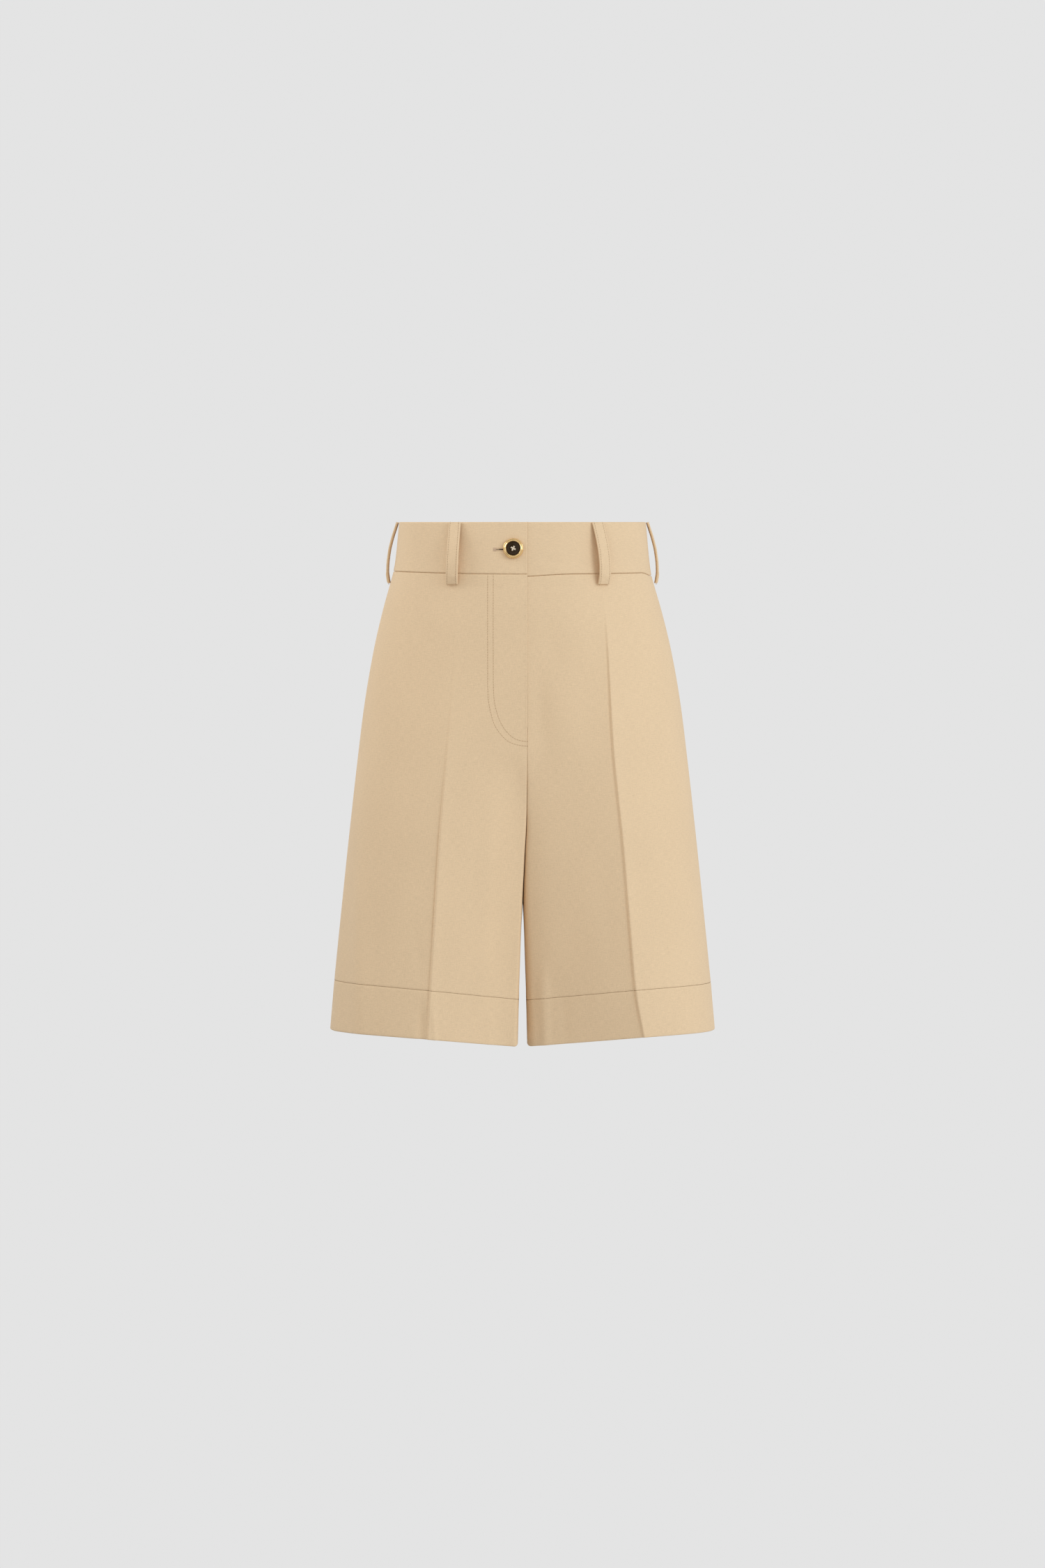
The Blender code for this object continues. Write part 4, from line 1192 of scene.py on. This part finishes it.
FACE_PROFILE = (
    ("radius", "height"),
    (0, 0.1), (6.6, 0.1), (6.8, 0.3), (6.8, 1.7), (6.72, 1.9), (6.5, 2), (6.1, 2.02),
    (5.6, 1.98), (5, 1.82), (4.4, 1.66), (3.6, 1.56), (2.4, 1.51), (1.2, 1.5), (0, 1.5),
)
GOLD = (0.94, 0.64, 0.29)
HORN = (0.030, 0.016, 0.006)


def front_spot(x, drop, reach):
    """A point of the front under the band, and the direction straight out of it."""
    aside = front_depth(x - reach, drop) - front_depth(x + reach, drop)
    up = front_depth(x, drop + reach) - front_depth(x, drop - reach)
    return np.array([x, -front_depth(x, drop), -drop]), unit(np.array([aside, -2 * reach, up]))


def button_frame():
    """Matrix of the button: its own +Z points out of the cloth, and its back lies just off the band."""
    seat, out = front_spot(BUTTON_X, BUTTON_DROP, BUTTON_TILT_REACH)
    place = Matrix.Translation((seat + out * (BAND_PROUD + BUTTON_LIFT)) * MM)
    return place @ Vector(out).to_track_quat("Z", "Y").to_matrix().to_4x4()


def turned(name, profile, material, turns=128):
    """A closed round piece spun from a profile of radius and height, in the button's own place."""
    shape = bmesh.new()
    points = [shape.verts.new(Vector((radius, 0, height)) * MM) for radius, height in profile[1:]]
    ring = points + points[:1] if profile[1][0] > 0 else points
    outline = points + [shape.edges.new(pair) for pair in zip(ring, ring[1:])]
    around = {"cent": (0, 0, 0), "axis": (0, 0, 1), "angle": 2 * math.pi}
    bmesh.ops.spin(shape, geom=outline, steps=turns, use_merge=True, **around)
    bmesh.ops.remove_doubles(shape, verts=shape.verts, dist=1e-7)
    bmesh.ops.recalc_face_normals(shape, faces=shape.faces)
    mesh = bpy.data.meshes.new(name)
    shape.to_mesh(mesh)
    shape.free()
    mesh.shade_smooth()
    mesh.set_sharp_from_angle(angle=SHARP)
    mesh.materials.append(material)
    return linked(name, mesh)


gold = plain("gold_metal", GOLD, 0.14, metallic=1.0)
rim = turned("gold_rim", RIM_PROFILE, gold)
rim.data.transform(button_frame())
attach(rim, "root")
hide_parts("button_rim")

horn = plain("dark_horn", HORN, 0.16, specular=0.2)
disc = turned("horn_disc", FACE_PROFILE, horn)
drill = {"segments": 32, "radius1": HOLE_RADIUS * MM, "radius2": HOLE_RADIUS * MM, "depth": 6 * MM}
drills = bmesh.new()
for x in (-HOLE_SPREAD, HOLE_SPREAD):
    for y in (-HOLE_SPREAD, HOLE_SPREAD):
        place = Matrix.Translation(Vector((x, y, 1)) * MM)
        bmesh.ops.create_cone(drills, cap_ends=True, matrix=place, **drill)
drill_mesh = bpy.data.meshes.new("drills")
drills.to_mesh(drill_mesh)
drills.free()
cutter = linked("drills", drill_mesh)
cut = disc.modifiers.new("sewing_holes", "BOOLEAN")
cut.operation = "DIFFERENCE"
cut.object = cutter
evaluated(disc, cut)
bpy.data.objects.remove(cutter)
disc.data.transform(button_frame() @ BUTTON_TURN)
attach(disc, "root")
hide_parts("button_face")

STRAND_RADIUS = 0.248
STRAND_SIDES = 8
STRAND_STEP = 0.15
STRAND_SHIFTS = (-0.42, -0.14, 0.16, 0.42)  # the four strands in each hole, side by side
STRAND_PATH = (  # from inside a hole over its rim to the button's middle, the inner strands heaped a little
    ("out", "height", "spread", "heap"),
    (1.8, 0.9, 0.56, 0),
    (1.35, 2.25, 1.04, 0.2),
    (0.15, 1.9, 0.28, 0),
)
ASKEW = (0.31, 0.24, 0.92)  # a direction that no strand runs in


def tube(path, radius, sides):
    """Points and faces of a closed round tube along a path, in millimetres."""
    path = np.array(path, float)
    along = unit(np.gradient(path, axis=0))
    across = unit(np.cross(along, ASKEW))
    other = np.cross(along, across)
    turn = np.linspace(0, 2 * math.pi, sides, endpoint=False)
    ring = np.cos(turn)[None, :, None] * across[:, None] + np.sin(turn)[None, :, None] * other[:, None]
    corners = np.arange(len(path) * sides).reshape(-1, sides)
    after = np.roll(corners, -1, axis=1)
    faces = np.stack([corners[:-1], after[:-1], after[1:], corners[1:]], -1).reshape(-1, 4).tolist()
    faces += [corners[0, ::-1].tolist(), corners[-1].tolist()]
    return (path[:, None] + ring * radius).reshape(-1, 3), faces


def joined(name, parts, material):
    """One object of several point and face sets, in millimetres."""
    points, faces = [], []
    for part_points, part_faces in parts:
        faces += [tuple(i + len(points) for i in face) for face in part_faces]
        points += [tuple(p) for p in part_points]
    mesh = bpy.data.meshes.new(name)
    mesh.from_pydata((np.array(points) * MM).tolist(), [], faces)
    shape = bmesh.new()
    shape.from_mesh(mesh)
    bmesh.ops.recalc_face_normals(shape, faces=shape.faces)
    shape.to_mesh(mesh)
    shape.free()
    mesh.shade_smooth()
    mesh.materials.append(material)
    piece = linked(name, mesh)
    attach(piece, "root")
    return piece


strands = []
for x, y in ((-1, -1), (1, -1), (1, 1), (-1, 1)):
    for shift in STRAND_SHIFTS:
        path = []
        for out, height, spread, heap in STRAND_PATH[1:]:
            aside = shift * spread
            path.append((x * out - y * aside, y * out + x * aside, height + heap * (1 - abs(shift))))
        strands.append(tube(smooth_path(path, STRAND_STEP), STRAND_RADIUS, STRAND_SIDES))
cross = joined("button_thread", strands, plain("cream_thread", (0.72, 0.60, 0.45), 0.55))
cross.data.transform(button_frame() @ BUTTON_TURN)

HOLE_DROP = 26.9
HOLE_SLOPE_REACH = 2.0
HOLE_SEWING = (  # rows that make up the buttonhole, from one X to another, some off the slit: the slit and its mouth are dark grains of painted shadow, the purl and the bar are stitches
    ("name", "from", "to", "points", "offsets", "pitch", "size"),
    ("buttonhole_slit_shadow", -26.1, -9.0, 12, (0.0,), 0.35, (0.8, 0.62, 0.16)),
    ("buttonhole_mouth_shadow", -22.6, -9.0, 12, (0.0,), 0.35, (0.8, 1.25, 0.22)),
    ("buttonhole_purl", -26.4, -9.0, 12, (-0.95, 0.95), 0.42, (0.36, 1.25, 0.46)),
    ("buttonhole_bar", -28.6, -25.9, 6, (0.0,), 0.52, (0.40, 4.6, 0.55)),
)

# Painted shadow: the buttonhole's slit and mouth are drawn as near-black grains.
dark = plain("slit_shadow", (0.035, 0.02, 0.01), 0.95)
bar_thread = plain("bar_thread", (0.54, 0.38, 0.26), 0.7)
for row, material in zip(HOLE_SEWING[1:], (dark, dark, thread, bar_thread)):
    name, start, end, count, offsets, pitch, size = row
    paths = []
    for offset in offsets:
        xs = np.linspace(start, end, count)
        spots, out = np.swapaxes([front_spot(x, HOLE_DROP + offset, HOLE_SLOPE_REACH) for x in xs], 0, 1)
        paths.append((spots - [0, BAND_PROUD, 0], out))
    sew(name, paths, pitch, size, material)


# --- Cut of the cloth ---------------------------------------------------------
# Each panel, the band, the shield and each loop is a sheet of the same cloth. Its flat size is what shows of
# its cut, without seam allowances and turnings.

for piece, outer, stitched in panels.values():
    down, across = outer[1:, :-1] - outer[:-1, :-1], outer[:-1, 1:] - outer[:-1, :-1]
